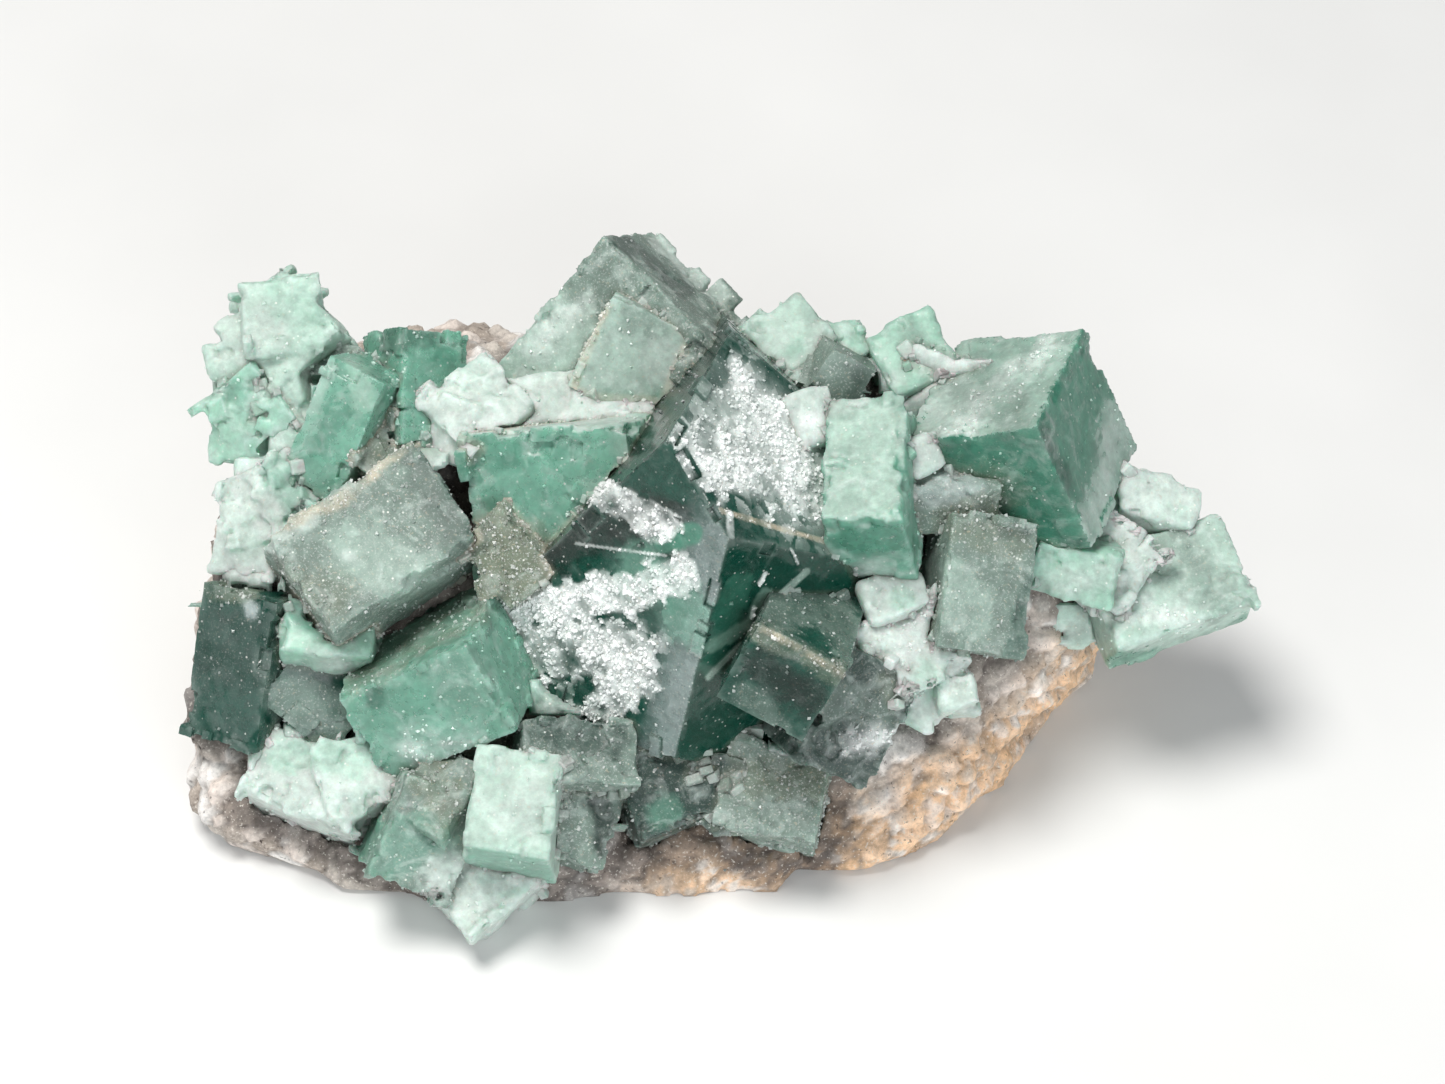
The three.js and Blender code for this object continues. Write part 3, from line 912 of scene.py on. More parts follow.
largestCrystal = {
    "finish": "dark_green",
    "body": "dark",
    "seam": "tan",
    "seamAmount": 0.12,
    "paleEdges": 0.35,
    "steps": 0.5,
    "ledges": 0.25,
    "strokes": [
        # the steep side over its left neighbours
        sideTone("black", 141, 0.75),
        stroke("lilac", [(0.20, 0.50), (0.34, 0.66), (0.46, 0.80), (0.57, 0.93)], 0.35, 0.7, 141),
        stroke("tan", [(0.03, 0.34), (0.19, 0.486), (0.33, 0.647), (0.425, 0.787), (0.57, 0.965)],
               0.55, 0.9),
        # upper right face
        sideTone("dark", 28, 0.5),
        stroke("slate", [(0.50, 0.62), (0.58, 0.55), (0.64, 0.50)], 2.4, 0.6, 28),
        stroke("cloud", [(0.64, 0.78), (0.78, 0.66), (0.86, 0.60)], 8.0, 0.75, 28, 0.9),
        stroke("snow", [(0.50, 0.70), (0.60, 0.68), (0.70, 0.66), (0.80, 0.62)], 5.2, 0.95, 28, 0.6),
        stroke("snow", [(0.64, 0.84), (0.72, 0.76), (0.80, 0.72)], 3.4, 0.85, 28, 0.7),
        stroke("cloud", [(0.88, 0.76), (0.89, 0.62)], 3.0, 0.9),
        stroke("dark", [(0.60, 0.95), (0.61, 0.84)], 2.0, 0.85, 28),
        stroke("tan", [(0.62, 0.565), (0.75, 0.53), (0.90, 0.49)], 0.35, 0.8, 28),
        # lower left face
        stroke("green", [(0.05, 0.36), (0.12, 0.2), (0.3, 0.1)], 4.5, 0.5, 215),
        stroke("black", [(0.12, 0.42), (0.34, 0.55), (0.5, 0.53)], 3.6, 0.95, 215),
        # painted sheen: a grey-lilac highlight over the lower left face
        stroke("lilac", [(0.64, 0.50), (0.61, 0.36), (0.54, 0.20), (0.49, 0.07)], 6.0, 0.75, 215, 0.9),
        stroke("sea", [(0.44, 0.44), (0.52, 0.40), (0.56, 0.34)], 3.2, 0.6, 215),
        stroke("green", [(0.50, 0.50), (0.56, 0.52)], 1.2, 0.95, 215),
        stroke("snow", [(0.16, 0.36), (0.30, 0.38), (0.44, 0.40), (0.52, 0.43)], 2.3, 0.95, 215, 0.3),
        stroke("snow", [(0.15, 0.27), (0.28, 0.29), (0.40, 0.28)], 4.4, 0.95, 215, 0.35),
        stroke("snow", [(0.34, 0.14), (0.42, 0.22)], 3.4, 0.9, 215, 0.4),
        stroke("snow", [(0.36, 0.60), (0.44, 0.56), (0.50, 0.53)], 1.5, 0.95, None, 0.3),
        stroke("snow", [(0.30, 0.50), (0.50, 0.475)], 0.18, 0.8, 215),
        stroke("snow", [(0.64, 0.56), (0.645, 0.50)], 0.45, 0.95),
        # lower right face, darkened partly by painted shade, partly its own deep green
        sideTone("deep", 312, 0.92),
        stroke("green", [(0.68, 0.06)], 2.8, 0.9),
        stroke("green", [(0.66, 0.42), (0.60, 0.25)], 1.6, 0.45, 312),
        stroke("pale", [(0.593, 0.228), (0.66, 0.29), (0.70, 0.31), (0.73, 0.378), (0.81, 0.443)],
               0.42, 0.8, 312),
        stroke("mint", [(0.60, 0.29), (0.69, 0.34), (0.72, 0.40)], 0.8, 0.5, 312),
        stroke("snow", [(0.705, 0.42), (0.72, 0.44)], 0.24, 1.0, 312),
        stroke("snow", [(0.69, 0.35), (0.695, 0.37)], 0.26, 0.8, 312),
        stroke("snow", [(0.77, 0.50), (0.79, 0.46)], 0.20, 0.8, 312),
    ],
}
makeCrystal("largest_crystal", largestCrystal)

lowerRightCube = {
    "finish": "dark_green",
    "body": "dark",
    "seam": "slate",
    "strokes": [
        stroke("grey", [(0.4, 0.88), (0.75, 0.85), (0.9, 0.6)], 3.2, 0.75),
        stroke("black", [(0.3, 0.5), (0.6, 0.28)], 2.6, 0.85),
        stroke("olive", [(0.26, 0.72), (0.55, 0.58), (0.82, 0.42)], 1.5, 0.8),
        stroke("tan", [(0.30, 0.74), (0.55, 0.60), (0.82, 0.44)], 0.5, 0.6),
        stroke("grey", [(0.2, 0.3), (0.4, 0.1)], 1.9, 0.6),
    ],
}
makeCrystal("lower_right_cube_on_largest", lowerRightCube)

rightCube = {
    "finish": "green",
    "body": "green",
    "paleEdges": 0.4,
    "strokes": [
        # painted light: the upper left face paler, partly its own frost
        sideTone("pale", 118, 0.8),
        stroke("cloud", [(0.1, 0.75), (0.2, 0.6)], 4.0, 0.7, 118),
        stroke("snow", [(0.2, 0.55), (0.45, 0.80), (0.62, 0.95)], 2.2, 0.5, 118, 0.9),
        stroke("grey", [(0.4, 0.62), (0.3, 0.75)], 3.5, 0.6, 118),
        stroke("olive", [(0.2, 0.36), (0.4, 0.3)], 3.0, 0.6),
        stroke("dark", [(0.54, 0.5), (0.62, 0.34)], 2.0, 0.7, 350),
        stroke("cloud", [(0.92, 0.60), (0.93, 0.40), (0.75, 0.12)], 3.2, 0.8, 350),
    ],
}
makeCrystal("right_cube", rightCube)

standingPillar = {
    "finish": "mint",
    "body": "sea",
    "paleEdges": 0.4,
    "strokes": [
        sideTone("pale", 110, 0.9),
        sideTone("pale", "front", 0.8),
        stroke("cloud", [(0.12, 0.95), (0.3, 0.97)], 2.2, 0.7),
        stroke("green", [(0.3, 0.2), (0.9, 0.25)], 2.2, 0.7, 270),
        stroke("cloud", [(0.5, 0.02)], 2.4, 0.6, 270),
    ],
}
makeCrystal("standing_pillar", standingPillar)

topCubeStep = {
    "finish": "green",
    "body": "pale",
    "seam": "tan",
    "strokes": [
        stroke("grey", [(0.6, 0.8)], 4.0, 0.7),
        stroke("sea", [(0.1, 0.1), (0.8, 0.08)], 2.6, 0.75),
        stroke("cloud", [(0.7, 0.45)], 2.5, 0.6),
        stroke("tan", [(0.0, 0.15), (0.23, 0.68), (0.31, 0.81)], 0.6, 0.8),
    ],
}
makeCrystal("top_cube_step", topCubeStep)

topCube = {
    "finish": "frosted",
    "body": "grey",
    "grains": 0.5,
    "steps": 0.4,
    "strokes": [
        stroke("pale", [(0.15, 0.5), (0.3, 0.62)], 5.0, 0.75),
        stroke("slate", [(0.44, 0.98), (0.69, 0.77)], 1.1, 0.85),
        stroke("cloud", [(0.62, 0.97), (0.8, 0.77)], 1.5, 0.8),
        stroke("snow", [(0.20, 0.55), (0.36, 0.72)], 2.0, 0.35, None, 0.9),
        stroke("olive", [(0.1, 0.42)], 2.2, 0.5),
        stroke("cloud", [(0.15, 0.45), (0.27, 0.42)], 1.7, 0.8),
    ],
}
makeCrystal("top_cube", topCube)

leftCentreCube = {
    "finish": "green",
    "body": "sea",
    "seam": "tan",
    "strokes": [
        stroke("green", [(0.1, 0.75), (0.5, 0.8)], 2.5, 0.4, "front"),
        sideTone("cloud", 94, 0.95),
        stroke("olive", [(0.12, 0.3), (0.45, 0.25), (0.3, 0.02)], 4.2, 0.85),
        stroke("pale", [(0.9, 0.8)], 3.0, 0.5, "front"),
    ],
}
makeCrystal("left_centre_cube", leftCentreCube)

broadFrostedCube = {
    "finish": "frosted",
    "body": "grey",
    "seam": "tan",
    "strokes": [
        stroke("slate", [(0.75, 0.85), (0.92, 0.6)], 3.0, 0.55),
        stroke("pale", [(0.45, 0.5), (0.7, 0.4)], 4.0, 0.5),
        stroke("olive", [(0.1, 0.35), (0.35, 0.3)], 3.0, 0.7),
        stroke("cloud", [(0.0, 0.53), (0.25, 0.65)], 1.0, 0.7),
        stroke("cloud", [(0.41, 0.49)], 0.9, 0.9),
        stroke("tan", [(0.65, 1.0), (0.37, 0.74), (0.0, 0.58)], 0.9, 0.8),
    ],
}
makeCrystal("broad_frosted_cube", broadFrostedCube)

lowerLeftCentreCube = {
    "finish": "green",
    "body": "sea",
    "strokes": [
        stroke("olive", [(0.65, 0.85), (0.35, 0.68), (0.08, 0.5)], 2.4, 0.75),
        stroke("grey", [(0.6, 0.5)], 4.0, 0.4),
        stroke("dark", [(0.18, 0.42)], 1.3, 0.6),
        stroke("snow", [(0.62, 0.2), (0.35, 0.15)], 3.0, 0.55, None, 0.9),
    ],
}
makeCrystal("lower_left_centre_cube", lowerLeftCentreCube)

darkLeftCube = {
    "finish": "dark_green",
    "body": "dark",
    "strokes": [
        stroke("slate", [(0.15, 0.6), (0.4, 0.6)], 5.0, 0.6),
        stroke("olive", [(0.12, 0.94), (0.35, 0.9)], 1.7, 0.7),
        stroke("lilac", [(0.38, 0.8)], 1.1, 0.95),
        stroke("grey", [(0.6, 0.35), (0.8, 0.2)], 3.8, 0.75),
        stroke("pale", [(0.0, 0.4)], 1.0, 0.6),
    ],
}
makeCrystal("dark_left_cube", darkLeftCube)

smallMintCube = {
    "finish": "mint",
    "body": "mint",
    "strokes": [
        stroke("sea", [(0.2, 0.75), (0.75, 0.75)], 2.2, 0.8),
        stroke("cloud", [(0.5, 0.2)], 3.0, 0.75),
    ],
}
makeCrystal("small_mint_cube", smallMintCube)

lowMintCube = {
    "finish": "mint",
    "body": "pale",
    "strokes": [
        stroke("cloud", [(0.6, 0.6)], 3.5, 0.5),
        sideTone("sea", 280, 0.7),
    ],
}
makeCrystal("low_mint_cube", lowMintCube)

lowestCube = {
    "finish": "cloudy",
    "body": "cloud",
    "strokes": [
        stroke("grey", [(0.3, 0.5)], 2.6, 0.55),
        stroke("pale", [(0.7, 0.7)], 3.0, 0.5),
    ],
}
makeCrystal("lowest_cube", lowestCube)

lowTallCube = {
    "finish": "mint",
    "body": "grey",
    "strokes": [
        stroke("sea", [(0.3, 0.35), (0.6, 0.5)], 3.6, 0.5),
        stroke("green", [(0.08, 0.3), (0.3, 0.7)], 1.0, 0.5),
        stroke("olive", [(0.6, 0.88), (0.75, 0.65)], 3.0, 0.8),
        stroke("cloud", [(0.75, 0.2)], 3.0, 0.7),
    ],
}
makeCrystal("low_tall_cube", lowTallCube)

lowCloudyCluster = {
    "finish": "cloudy",
    "body": "cloud",
    "strokes": [
        stroke("mint", [(0.3, 0.85), (0.7, 0.8)], 3.0, 0.6),
        stroke("pale", [(0.8, 0.4)], 2.5, 0.6),
    ],
}
makeCrystal("low_cloudy_cluster", lowCloudyCluster)

underLargestLeftCube = {
    "finish": "frosted",
    "body": "grey",
    "strokes": [stroke("slate", [(0.1, 0.9), (0.8, 0.75)], 2.4, 0.8)],
}
makeCrystal("under_largest_left_cube", underLargestLeftCube)

lowFrostedCube = {
    "finish": "frosted",
    "body": "grey",
    "strokes": [
        stroke("cloud", [(0.4, 0.7), (0.65, 0.75)], 1.8, 0.8),
        stroke("black", [(0.8, 0.55), (0.85, 0.25)], 2.0, 0.9),
    ],
}
makeCrystal("low_frosted_cube", lowFrostedCube)

underLargestCentreCube = {
    "finish": "frosted",
    "body": "slate",
    "strokes": [stroke("sea", [(0.5, 0.4)], 2.5, 0.45)],
}
makeCrystal("under_largest_centre_cube", underLargestCentreCube)

underLargestSmallCube = {
    "finish": "frosted",
    "body": "slate",
    "strokes": [stroke("olive", [(0.5, 0.3)], 2.0, 0.5)],
}
makeCrystal("under_largest_small_cube", underLargestSmallCube)

underLargestRightCube = {
    "finish": "frosted",
    "body": "grey",
    "strokes": [stroke("olive", [(0.3, 0.6), (0.8, 0.6)], 2.6, 0.7)],
}
makeCrystal("under_largest_right_cube", underLargestRightCube)

rightLowFrostedCube = {
    "finish": "frosted",
    "body": "slate",
    "strokes": [
        stroke("grey", [(0.4, 0.6), (0.7, 0.5)], 3.5, 0.6),
        stroke("snow", [(0.55, 0.30), (0.75, 0.35)], 2.2, 0.7, None, 0.8),
    ],
}
makeCrystal("right_low_frosted_cube", rightLowFrostedCube)

rightGreyCube = {
    "finish": "frosted",
    "body": "grey",
    "strokes": [
        stroke("olive", [(0.4, 0.9), (0.8, 0.75)], 2.2, 0.6),
        stroke("pale", [(0.3, 0.5), (0.5, 0.3)], 3.0, 0.5),
        stroke("dark", [(0.97, 0.5), (0.8, 0.05)], 1.8, 0.6),
    ],
}
makeCrystal("right_grey_cube", rightGreyCube)

rightCloudyCluster = {
    "finish": "cloudy",
    "body": "cloud",
    "strokes": [
        stroke("snow", [(0.4, 0.5), (0.6, 0.8)], 2.4, 0.5, None, 0.9),
        stroke("mint", [(0.6, 0.35)], 2.5, 0.5),
        stroke("grey", [(0.9, 0.8)], 2.0, 0.4),
        stroke("sea", [(0.45, 0.05)], 2.0, 0.5),
    ],
}
makeCrystal("right_cloudy_cluster", rightCloudyCluster)

rightBrownFacetCube = {
    "finish": "frosted",
    "body": "grey",
    "strokes": [
        stroke("lilac", [(0.3, 0.6), (0.6, 0.6)], 3.0, 0.7),
        stroke("olive", [(0.5, 0.15), (0.9, 0.3)], 2.0, 0.7),
    ],
}
makeCrystal("right_brown_facet_cube", rightBrownFacetCube)

underPillarCube = {"finish": "cloudy", "body": "cloud", "strokes": [stroke("mint", [(0.6, 0.5)], 1.5, 0.5)]}
makeCrystal("under_pillar_cube", underPillarCube)

underRightCube = {
    "finish": "mint",
    "body": "mint",
    "strokes": [stroke("cloud", [(0.3, 0.3), (0.8, 0.4)], 2.0, 0.6)],
}
makeCrystal("under_right_cube", underRightCube)

farRightCube = {
    "finish": "mint",
    "body": "pale",
    "strokes": [
        stroke("grey", [(0.5, 0.75), (0.75, 0.5)], 3.5, 0.55),
        stroke("snow", [(0.15, 0.45), (0.35, 0.38), (0.6, 0.32)], 2.4, 0.6, None, 0.9),
        stroke("green", [(0.25, 0.06), (0.6, 0.06), (0.95, 0.28)], 1.7, 0.8),
    ],
}
makeCrystal("far_right_cube", farRightCube)

farRightInnerCube = {
    "finish": "cloudy",
    "body": "cloud",
    "strokes": [stroke("grey", [(0.9, 0.9)], 3.0, 0.5)],
}
makeCrystal("far_right_inner_cube", farRightInnerCube)

farRightTip = {"finish": "cloudy", "body": "cloud", "strokes": [stroke("pale", [(0.7, 0.3)], 2.5, 0.6)]}
makeCrystal("far_right_tip", farRightTip)

topRightMintPair = {
    "finish": "mint",
    "body": "pale",
    "strokes": [stroke("sea", [(0.6, 0.35)], 1.5, 0.4)],
}
makeCrystal("top_right_mint_pair", topRightMintPair)

topRightLedge = {"finish": "cloudy", "body": "pale", "strokes": [stroke("cloud", [(0.5, 0.2)], 2.0, 0.6)]}
makeCrystal("top_right_ledge", topRightLedge)

topRightChip = {"finish": "mint", "body": "mint", "strokes": [stroke("cloud", [(0.5, 0.8)], 1.2, 0.6)]}
makeCrystal("top_right_chip", topRightChip)

topRightMintCube = {
    "finish": "mint",
    "body": "mint",
    "strokes": [
        stroke("grey", [(0.45, 0.75)], 2.2, 0.45),
        stroke("rust", [(0.42, 0.54)], 0.45, 0.9),
        stroke("cloud", [(0.2, 0.3)], 2.5, 0.6),
    ],
}
makeCrystal("top_right_mint_cube", topRightMintCube)

behindPillarCube = {"finish": "cloudy", "body": "cloud", "strokes": [stroke("sea", [(0.2, 0.3)], 1.6, 0.5)]}
makeCrystal("behind_pillar_cube", behindPillarCube)

smallDarkCube = {
    "finish": "dark_green",
    "body": "grey",
    "strokes": [stroke("slate", [(0.9, 0.7), (0.8, 0.3)], 1.6, 0.5)],
}
makeCrystal("small_dark_cube", smallDarkCube)

smallWhiteCube = {"finish": "cloudy", "body": "cloud", "strokes": [stroke("snow", [(0.5, 0.5)], 1.6, 0.4)]}
makeCrystal("small_white_cube", smallWhiteCube)

pillarSideChip = {"finish": "cloudy", "body": "cloud", "strokes": [stroke("pale", [(0.5, 0.2)], 1.0, 0.5)]}
makeCrystal("pillar_side_chip", pillarSideChip)

topLeftCluster = {
    "finish": "mint",
    "body": "pale",
    "strokes": [
        stroke("cloud", [(0.15, 0.55), (0.45, 0.65)], 3.5, 0.6),
        stroke("mint", [(0.55, 0.85), (0.75, 0.6)], 3.0, 0.5),
    ],
}
makeCrystal("top_left_cluster", topLeftCluster)

topLeftLowerCluster = {
    "finish": "mint",
    "body": "mint",
    "strokes": [
        stroke("sea", [(0.45, 0.7)], 2.2, 0.6),
        stroke("cloud", [(0.1, 0.1)], 2.5, 0.6),
    ],
}
makeCrystal("top_left_lower_cluster", topLeftLowerCluster)

longGreenCrystal = {
    "finish": "green",
    "body": "sea",
    "strokes": [
        stroke("green", [(0.3, 0.35), (0.55, 0.65)], 1.6, 0.5),
        stroke("mint", [(0.68, 0.65), (0.6, 0.85)], 1.7, 0.8),
        stroke("grey", [(0.8, 0.25), (0.6, 0.1)], 2.4, 0.6),
        stroke("cloud", [(0.25, 0.62), (0.4, 0.85)], 1.3, 0.5),
    ],
}
makeCrystal("long_green_crystal", longGreenCrystal)

upperLeftEdgeCube = {
    "finish": "green",
    "body": "sea",
    "strokes": [
        stroke("slate", [(0.3, 0.9), (0.6, 0.95)], 2.0, 0.6),
        stroke("olive", [(0.25, 0.3), (0.3, 0.6)], 2.0, 0.7),
        stroke("green", [(0.75, 0.75)], 2.0, 0.5),
    ],
}
makeCrystal("upper_left_edge_cube", upperLeftEdgeCube)

upperLeftLedge = {"finish": "frosted", "body": "grey", "strokes": [stroke("slate", [(0.4, 0.4)], 1.5, 0.4)]}
makeCrystal("upper_left_ledge", upperLeftLedge)

upperLeftWhiteCluster = {
    "finish": "cloudy",
    "body": "cloud",
    "strokes": [stroke("pale", [(0.5, 0.8)], 2.5, 0.5)],
}
makeCrystal("upper_left_white_cluster", upperLeftWhiteCluster)

leftCloudyCluster = {
    "finish": "cloudy",
    "body": "cloud",
    "strokes": [
        stroke("sea", [(0.55, 0.8), (0.75, 0.55)], 2.4, 0.7),
        stroke("pale", [(0.3, 0.3)], 2.5, 0.6),
    ],
}
makeCrystal("left_cloudy_cluster", leftCloudyCluster)

whiteLedge = {"finish": "cloudy", "body": "cloud", "strokes": [stroke("olive", [(0.1, 0.6)], 1.5, 0.5)]}
makeCrystal("white_ledge", whiteLedge)

upperLeftSeamCube = {
    "finish": "frosted",
    "body": "grey",
    "seam": "tan",
    "strokes": [
        stroke("olive", [(0.4, 0.6), (0.7, 0.3)], 3.0, 0.7),
        stroke("cloud", [(0.3, 0.3)], 1.2, 0.5),
    ],
}
makeCrystal("upper_left_seam_cube", upperLeftSeamCube)

centreSeamCube = {
    "finish": "frosted",
    "body": "olive",
    "seam": "tan",
    "strokes": [stroke("slate", [(0.2, 0.6)], 1.8, 0.6)],
}
makeCrystal("centre_seam_cube", centreSeamCube)
makeInfill()
print("crystals grown")


# the crust of small crystals that fills the gaps between the large ones
crust = {
    "across": (-56, 56),  # mm of the face that it is looked for on
    "up": (-44, 34),
    "lookFrom": 60,  # mm above the face
    "nothing": -50,  # mm, the height where neither crystal nor rock is met
    "cell": 0.4,  # mm between its points
    "bridge": 2.8,  # mm, half the width of the gaps that it fills
    "below": 0.35,  # mm under the edges of the crystals beside it
    "above": 0.3,  # mm that its highest bits stand over them
    "least": 0.5,  # mm of depth that needs filling
    "blocks": 0.9,  # mm, how uneven its small crystals are
    "blockSize": 2.2,
    "under": 7,  # cells that it runs on beneath a taller crystal
    "deepest": 7.0,  # mm, it doesn't fill a gap deeper than this
    "lowest": -17.0,  # mm, nor one that lies farther back than this
    "steepest": 0.7,  # mm that it may drop from one point to the next
    "thick": 2.5,
    "paler": 0.30,
    "frost": 0.55,
    "rounding": 4,
    "smoothWithin": math.radians(30),
    "slot": "fluorite_cloudy",
}


def shiftedExtreme(grid, reach, pick):
    # the largest or smallest value within `reach` cells, along both directions
    for axis in (0, 1):
        best = grid.copy()
        for step in range(1, reach + 1):
            for direction in (-step, step):
                best = pick(best, np.roll(grid, direction, axis))
        grid = best
    return grid


def blurred(grid, passes):
    for _ in range(passes):
        for axis in (0, 1):
            grid = (np.roll(grid, 1, axis) + 2 * grid + np.roll(grid, -1, axis)) / 4
    return grid


def heightsOverFace(acrossValues, upValues):
    # how far the crystals and the rock stand out of the face, looked at straight on,
    # and where it is bare rock that shows
    tree = frameTree(None)
    faceCounts = {name: len(obj.data.polygons) for name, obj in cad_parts.items()}
    firstRockFace = sum(faceCounts.values()) - faceCounts["rock_matrix"]
    start = crust["lookFrom"] * mm
    heights = np.full((len(acrossValues), len(upValues)), crust["nothing"] * mm)
    bare = np.zeros(heights.shape, dtype=bool)
    for i, across in enumerate(acrossValues):
        for j, up in enumerate(upValues):
            point = faceOrigin + faceRight * across + faceUp * up + faceOut * start
            hit = tree.ray_cast(Vector(point), -Vector(faceOut))
            if hit[0] is not None:
                heights[i, j] = start - hit[3]
                bare[i, j] = hit[2] >= firstRockFace
    return heights, bare


def coloursOverFace(acrossValues, upValues):
    cell = acrossValues[1] - acrossValues[0]
    shape = (len(acrossValues), len(upValues))
    total = np.zeros(shape + (3,))
    count = np.zeros(shape)
    for points, colours in painted:
        away = points - faceOrigin
        i = np.round((away @ faceRight - acrossValues[0]) / cell).astype(int)
        j = np.round((away @ faceUp - upValues[0]) / cell).astype(int)
        inside = (i >= 0) & (j >= 0) & (i < shape[0]) & (j < shape[1])
        weight = np.exp((away @ faceOut)[inside] / (2 * mm))
        np.add.at(total, (i[inside], j[inside]), colours[inside] * weight[:, None])
        np.add.at(count, (i[inside], j[inside]), weight)
    total, count = blurred(total, 10), blurred(count, 10)
    return total / np.maximum(count, 1e-9)[..., None]


def widened(mask, reach):
    return shiftedExtreme(mask.astype(int), reach, np.maximum) > 0


def growCrust():
    cell = crust["cell"] * mm
    acrossValues = np.arange(*(end * mm for end in crust["across"]), cell)
    upValues = np.arange(*(end * mm for end in crust["up"]), cell)
    heights, bare = heightsOverFace(acrossValues, upValues)
    reach = round(crust["bridge"] / crust["cell"])
    closed = shiftedExtreme(shiftedExtreme(heights, reach, np.maximum), reach, np.minimum)
    closed = np.minimum(blurred(closed, 3), closed)
    acrossGrid, upGrid = np.meshgrid(acrossValues, upValues, indexing="ij")
    flat = np.stack([acrossGrid.ravel(), upGrid.ravel(), np.zeros(acrossGrid.size)], 1)
    hill, tag = cellLumps(flat, crust["blockSize"] * mm, 21)
    blocks = (tag - 0.5) * smoothStep(hill, 0.0, 0.2) + 0.35 * layeredNoise(flat, 1.6 * mm, 77, 2)
    tops = closed - (crust["below"] - crust["blocks"] * blocks.reshape(closed.shape)) * mm
    tops = np.minimum(tops, closed + crust["above"] * mm)
    depth = closed - heights
    filled = bare & (depth > crust["least"] * mm) & (depth < crust["deepest"] * mm)
    filled &= heights > crust["lowest"] * mm
    kept = widened(filled, 2)
    # it runs on beneath the taller crystals, which may lean over it
    kept |= widened(filled, crust["under"]) & (heights - tops > crust["least"] * mm)
    kept &= tops > crust["lowest"] * mm
    kept[0] = kept[-1] = False
    kept[:, 0] = kept[:, -1] = False
    colours = coloursOverFace(acrossValues, upValues)
    pale = np.array(tones["cloud"]["colour"])
    share = crust["paler"] * (1 + layeredNoise(flat, 5 * mm, 91, 2).reshape(closed.shape))[..., None]
    colours = colours * (1 - share) + pale * share
    colours = colours * (0.85 + 0.35 * tag.reshape(closed.shape))[..., None]
    buildCrust(acrossGrid, upGrid, tops, kept, colours)


def buildCrust(acrossGrid, upGrid, tops, kept, colours):
    # a closed skin over each patch: its top, its bottom and the walls round it
    number = np.full(kept.shape, -1)
    number[kept] = np.arange(kept.sum())
    count = int(kept.sum())
    base = faceOrigin + acrossGrid[kept][:, None] * faceRight + upGrid[kept][:, None] * faceUp
    top = base + tops[kept][:, None] * faceOut
    bottom = top - faceOut * crust["thick"] * mm
    bm = bmesh.new()
    verts = [bm.verts.new(p) for p in np.concatenate([top, bottom])]
    for i, j in zip(*np.nonzero(kept[:-1, :-1] & kept[1:, :-1] & kept[:-1, 1:] & kept[1:, 1:])):
        if np.ptp(tops[i:i + 2, j:j + 2]) > crust["steepest"] * mm:
            continue
        corners = [number[i, j], number[i + 1, j], number[i + 1, j + 1], number[i, j + 1]]
        bm.faces.new([verts[c] for c in corners])
        bm.faces.new([verts[c + count] for c in reversed(corners)])
    bm.verts.index_update()
    rims = [e for e in bm.edges if len(e.link_faces) == 1 and e.verts[0].index < count]
    for edge in rims:
        loop = edge.link_loops[0]
        a, b = loop.vert.index, loop.link_loop_next.vert.index
        bm.faces.new([verts[b], verts[a], verts[a + count], verts[b + count]])
    tint = bm.verts.layers.float_color.new("tint")
    keptColours = np.clip(colours[kept], 0, 1)
    for v in bm.verts:
        v[tint] = (*keptColours[v.index % count], 1)
    bmesh.ops.delete(bm, geom=[v for v in bm.verts if not v.link_faces], context="VERTS")
    mesh = bpy.data.meshes.new("crust")
    bm.to_mesh(mesh)
    bm.free()
    roundEdges(mesh, crust["rounding"])
    storeValue(mesh, "frost", np.full(len(mesh.vertices), crust["frost"]))
    shadeByAngle(mesh, crust["smoothWithin"])
    mesh.materials.append(crystalMaterials[crust["slot"]])
    piece = newObject("crust_between_crystals", mesh)
    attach(piece, "root")


rockLook = {
    "spacing": 0.55,  # mm between the points of its surface
    "grow": 0.1,
    "broad": 1.3,  # mm, height of its broad lumps
    "lumps": 0.9,  # mm, height of its grains
    "lumpSize": 3.0,
    "smallSize": 1.1,
    "broadSize": 7,
    "warp": 1.5,  # mm, how crooked the grains are
    "grit": 0.35,
    "gritSize": 0.7,
    "flatBelow": (0.4, 4),  # mm over the ground, where the relief starts and where it is full
    "shadow": (0.085, 0.070, 0.062),
    "brown": (0.420, 0.360, 0.310),
    "grey": (0.600, 0.545, 0.490),
    "pink": (0.740, 0.650, 0.590),
    "white": (0.880, 0.860, 0.830),
    "rusty": (0.820, 0.520, 0.290),
    "paleSpecks": (0.70, 0.66, 0.60),
    "darkSpecks": (0.05, 0.04, 0.035),
    "shadeReach": 6,  # mm from a crystal, where painted shade darkens the rock
}
# its lower right rim, seen from the front of the crystal face, is rusty
rim = {
    "across": 0.43,  # the way out to the rim
    "up": -0.90,
    "bend": 0.0085,
    "middle": 6,  # mm along the rim
    "starts": 27,  # mm out from the middle of the face
    "full": 32,
    "wander": 5,
    "leftEnd": (-16, 2),  # mm, where it fades out
    "share": 0.80,
}


def rustyShare(points, broad, smallTag):
    across = (points - faceOrigin) @ faceRight / mm
    up = (points - faceOrigin) @ faceUp / mm
    along = -rim["up"] * across + rim["across"] * up - rim["middle"]
    outward = rim["across"] * across + rim["up"] * up + rim["bend"] * along ** 2
    share = smoothStep(outward + rim["wander"] * broad, rim["starts"], rim["full"])
    share = share * smoothStep(across, *rim["leftEnd"])
    return share * (rim["share"] - 0.6 * smoothStep(smallTag, 0.4, 0.9))


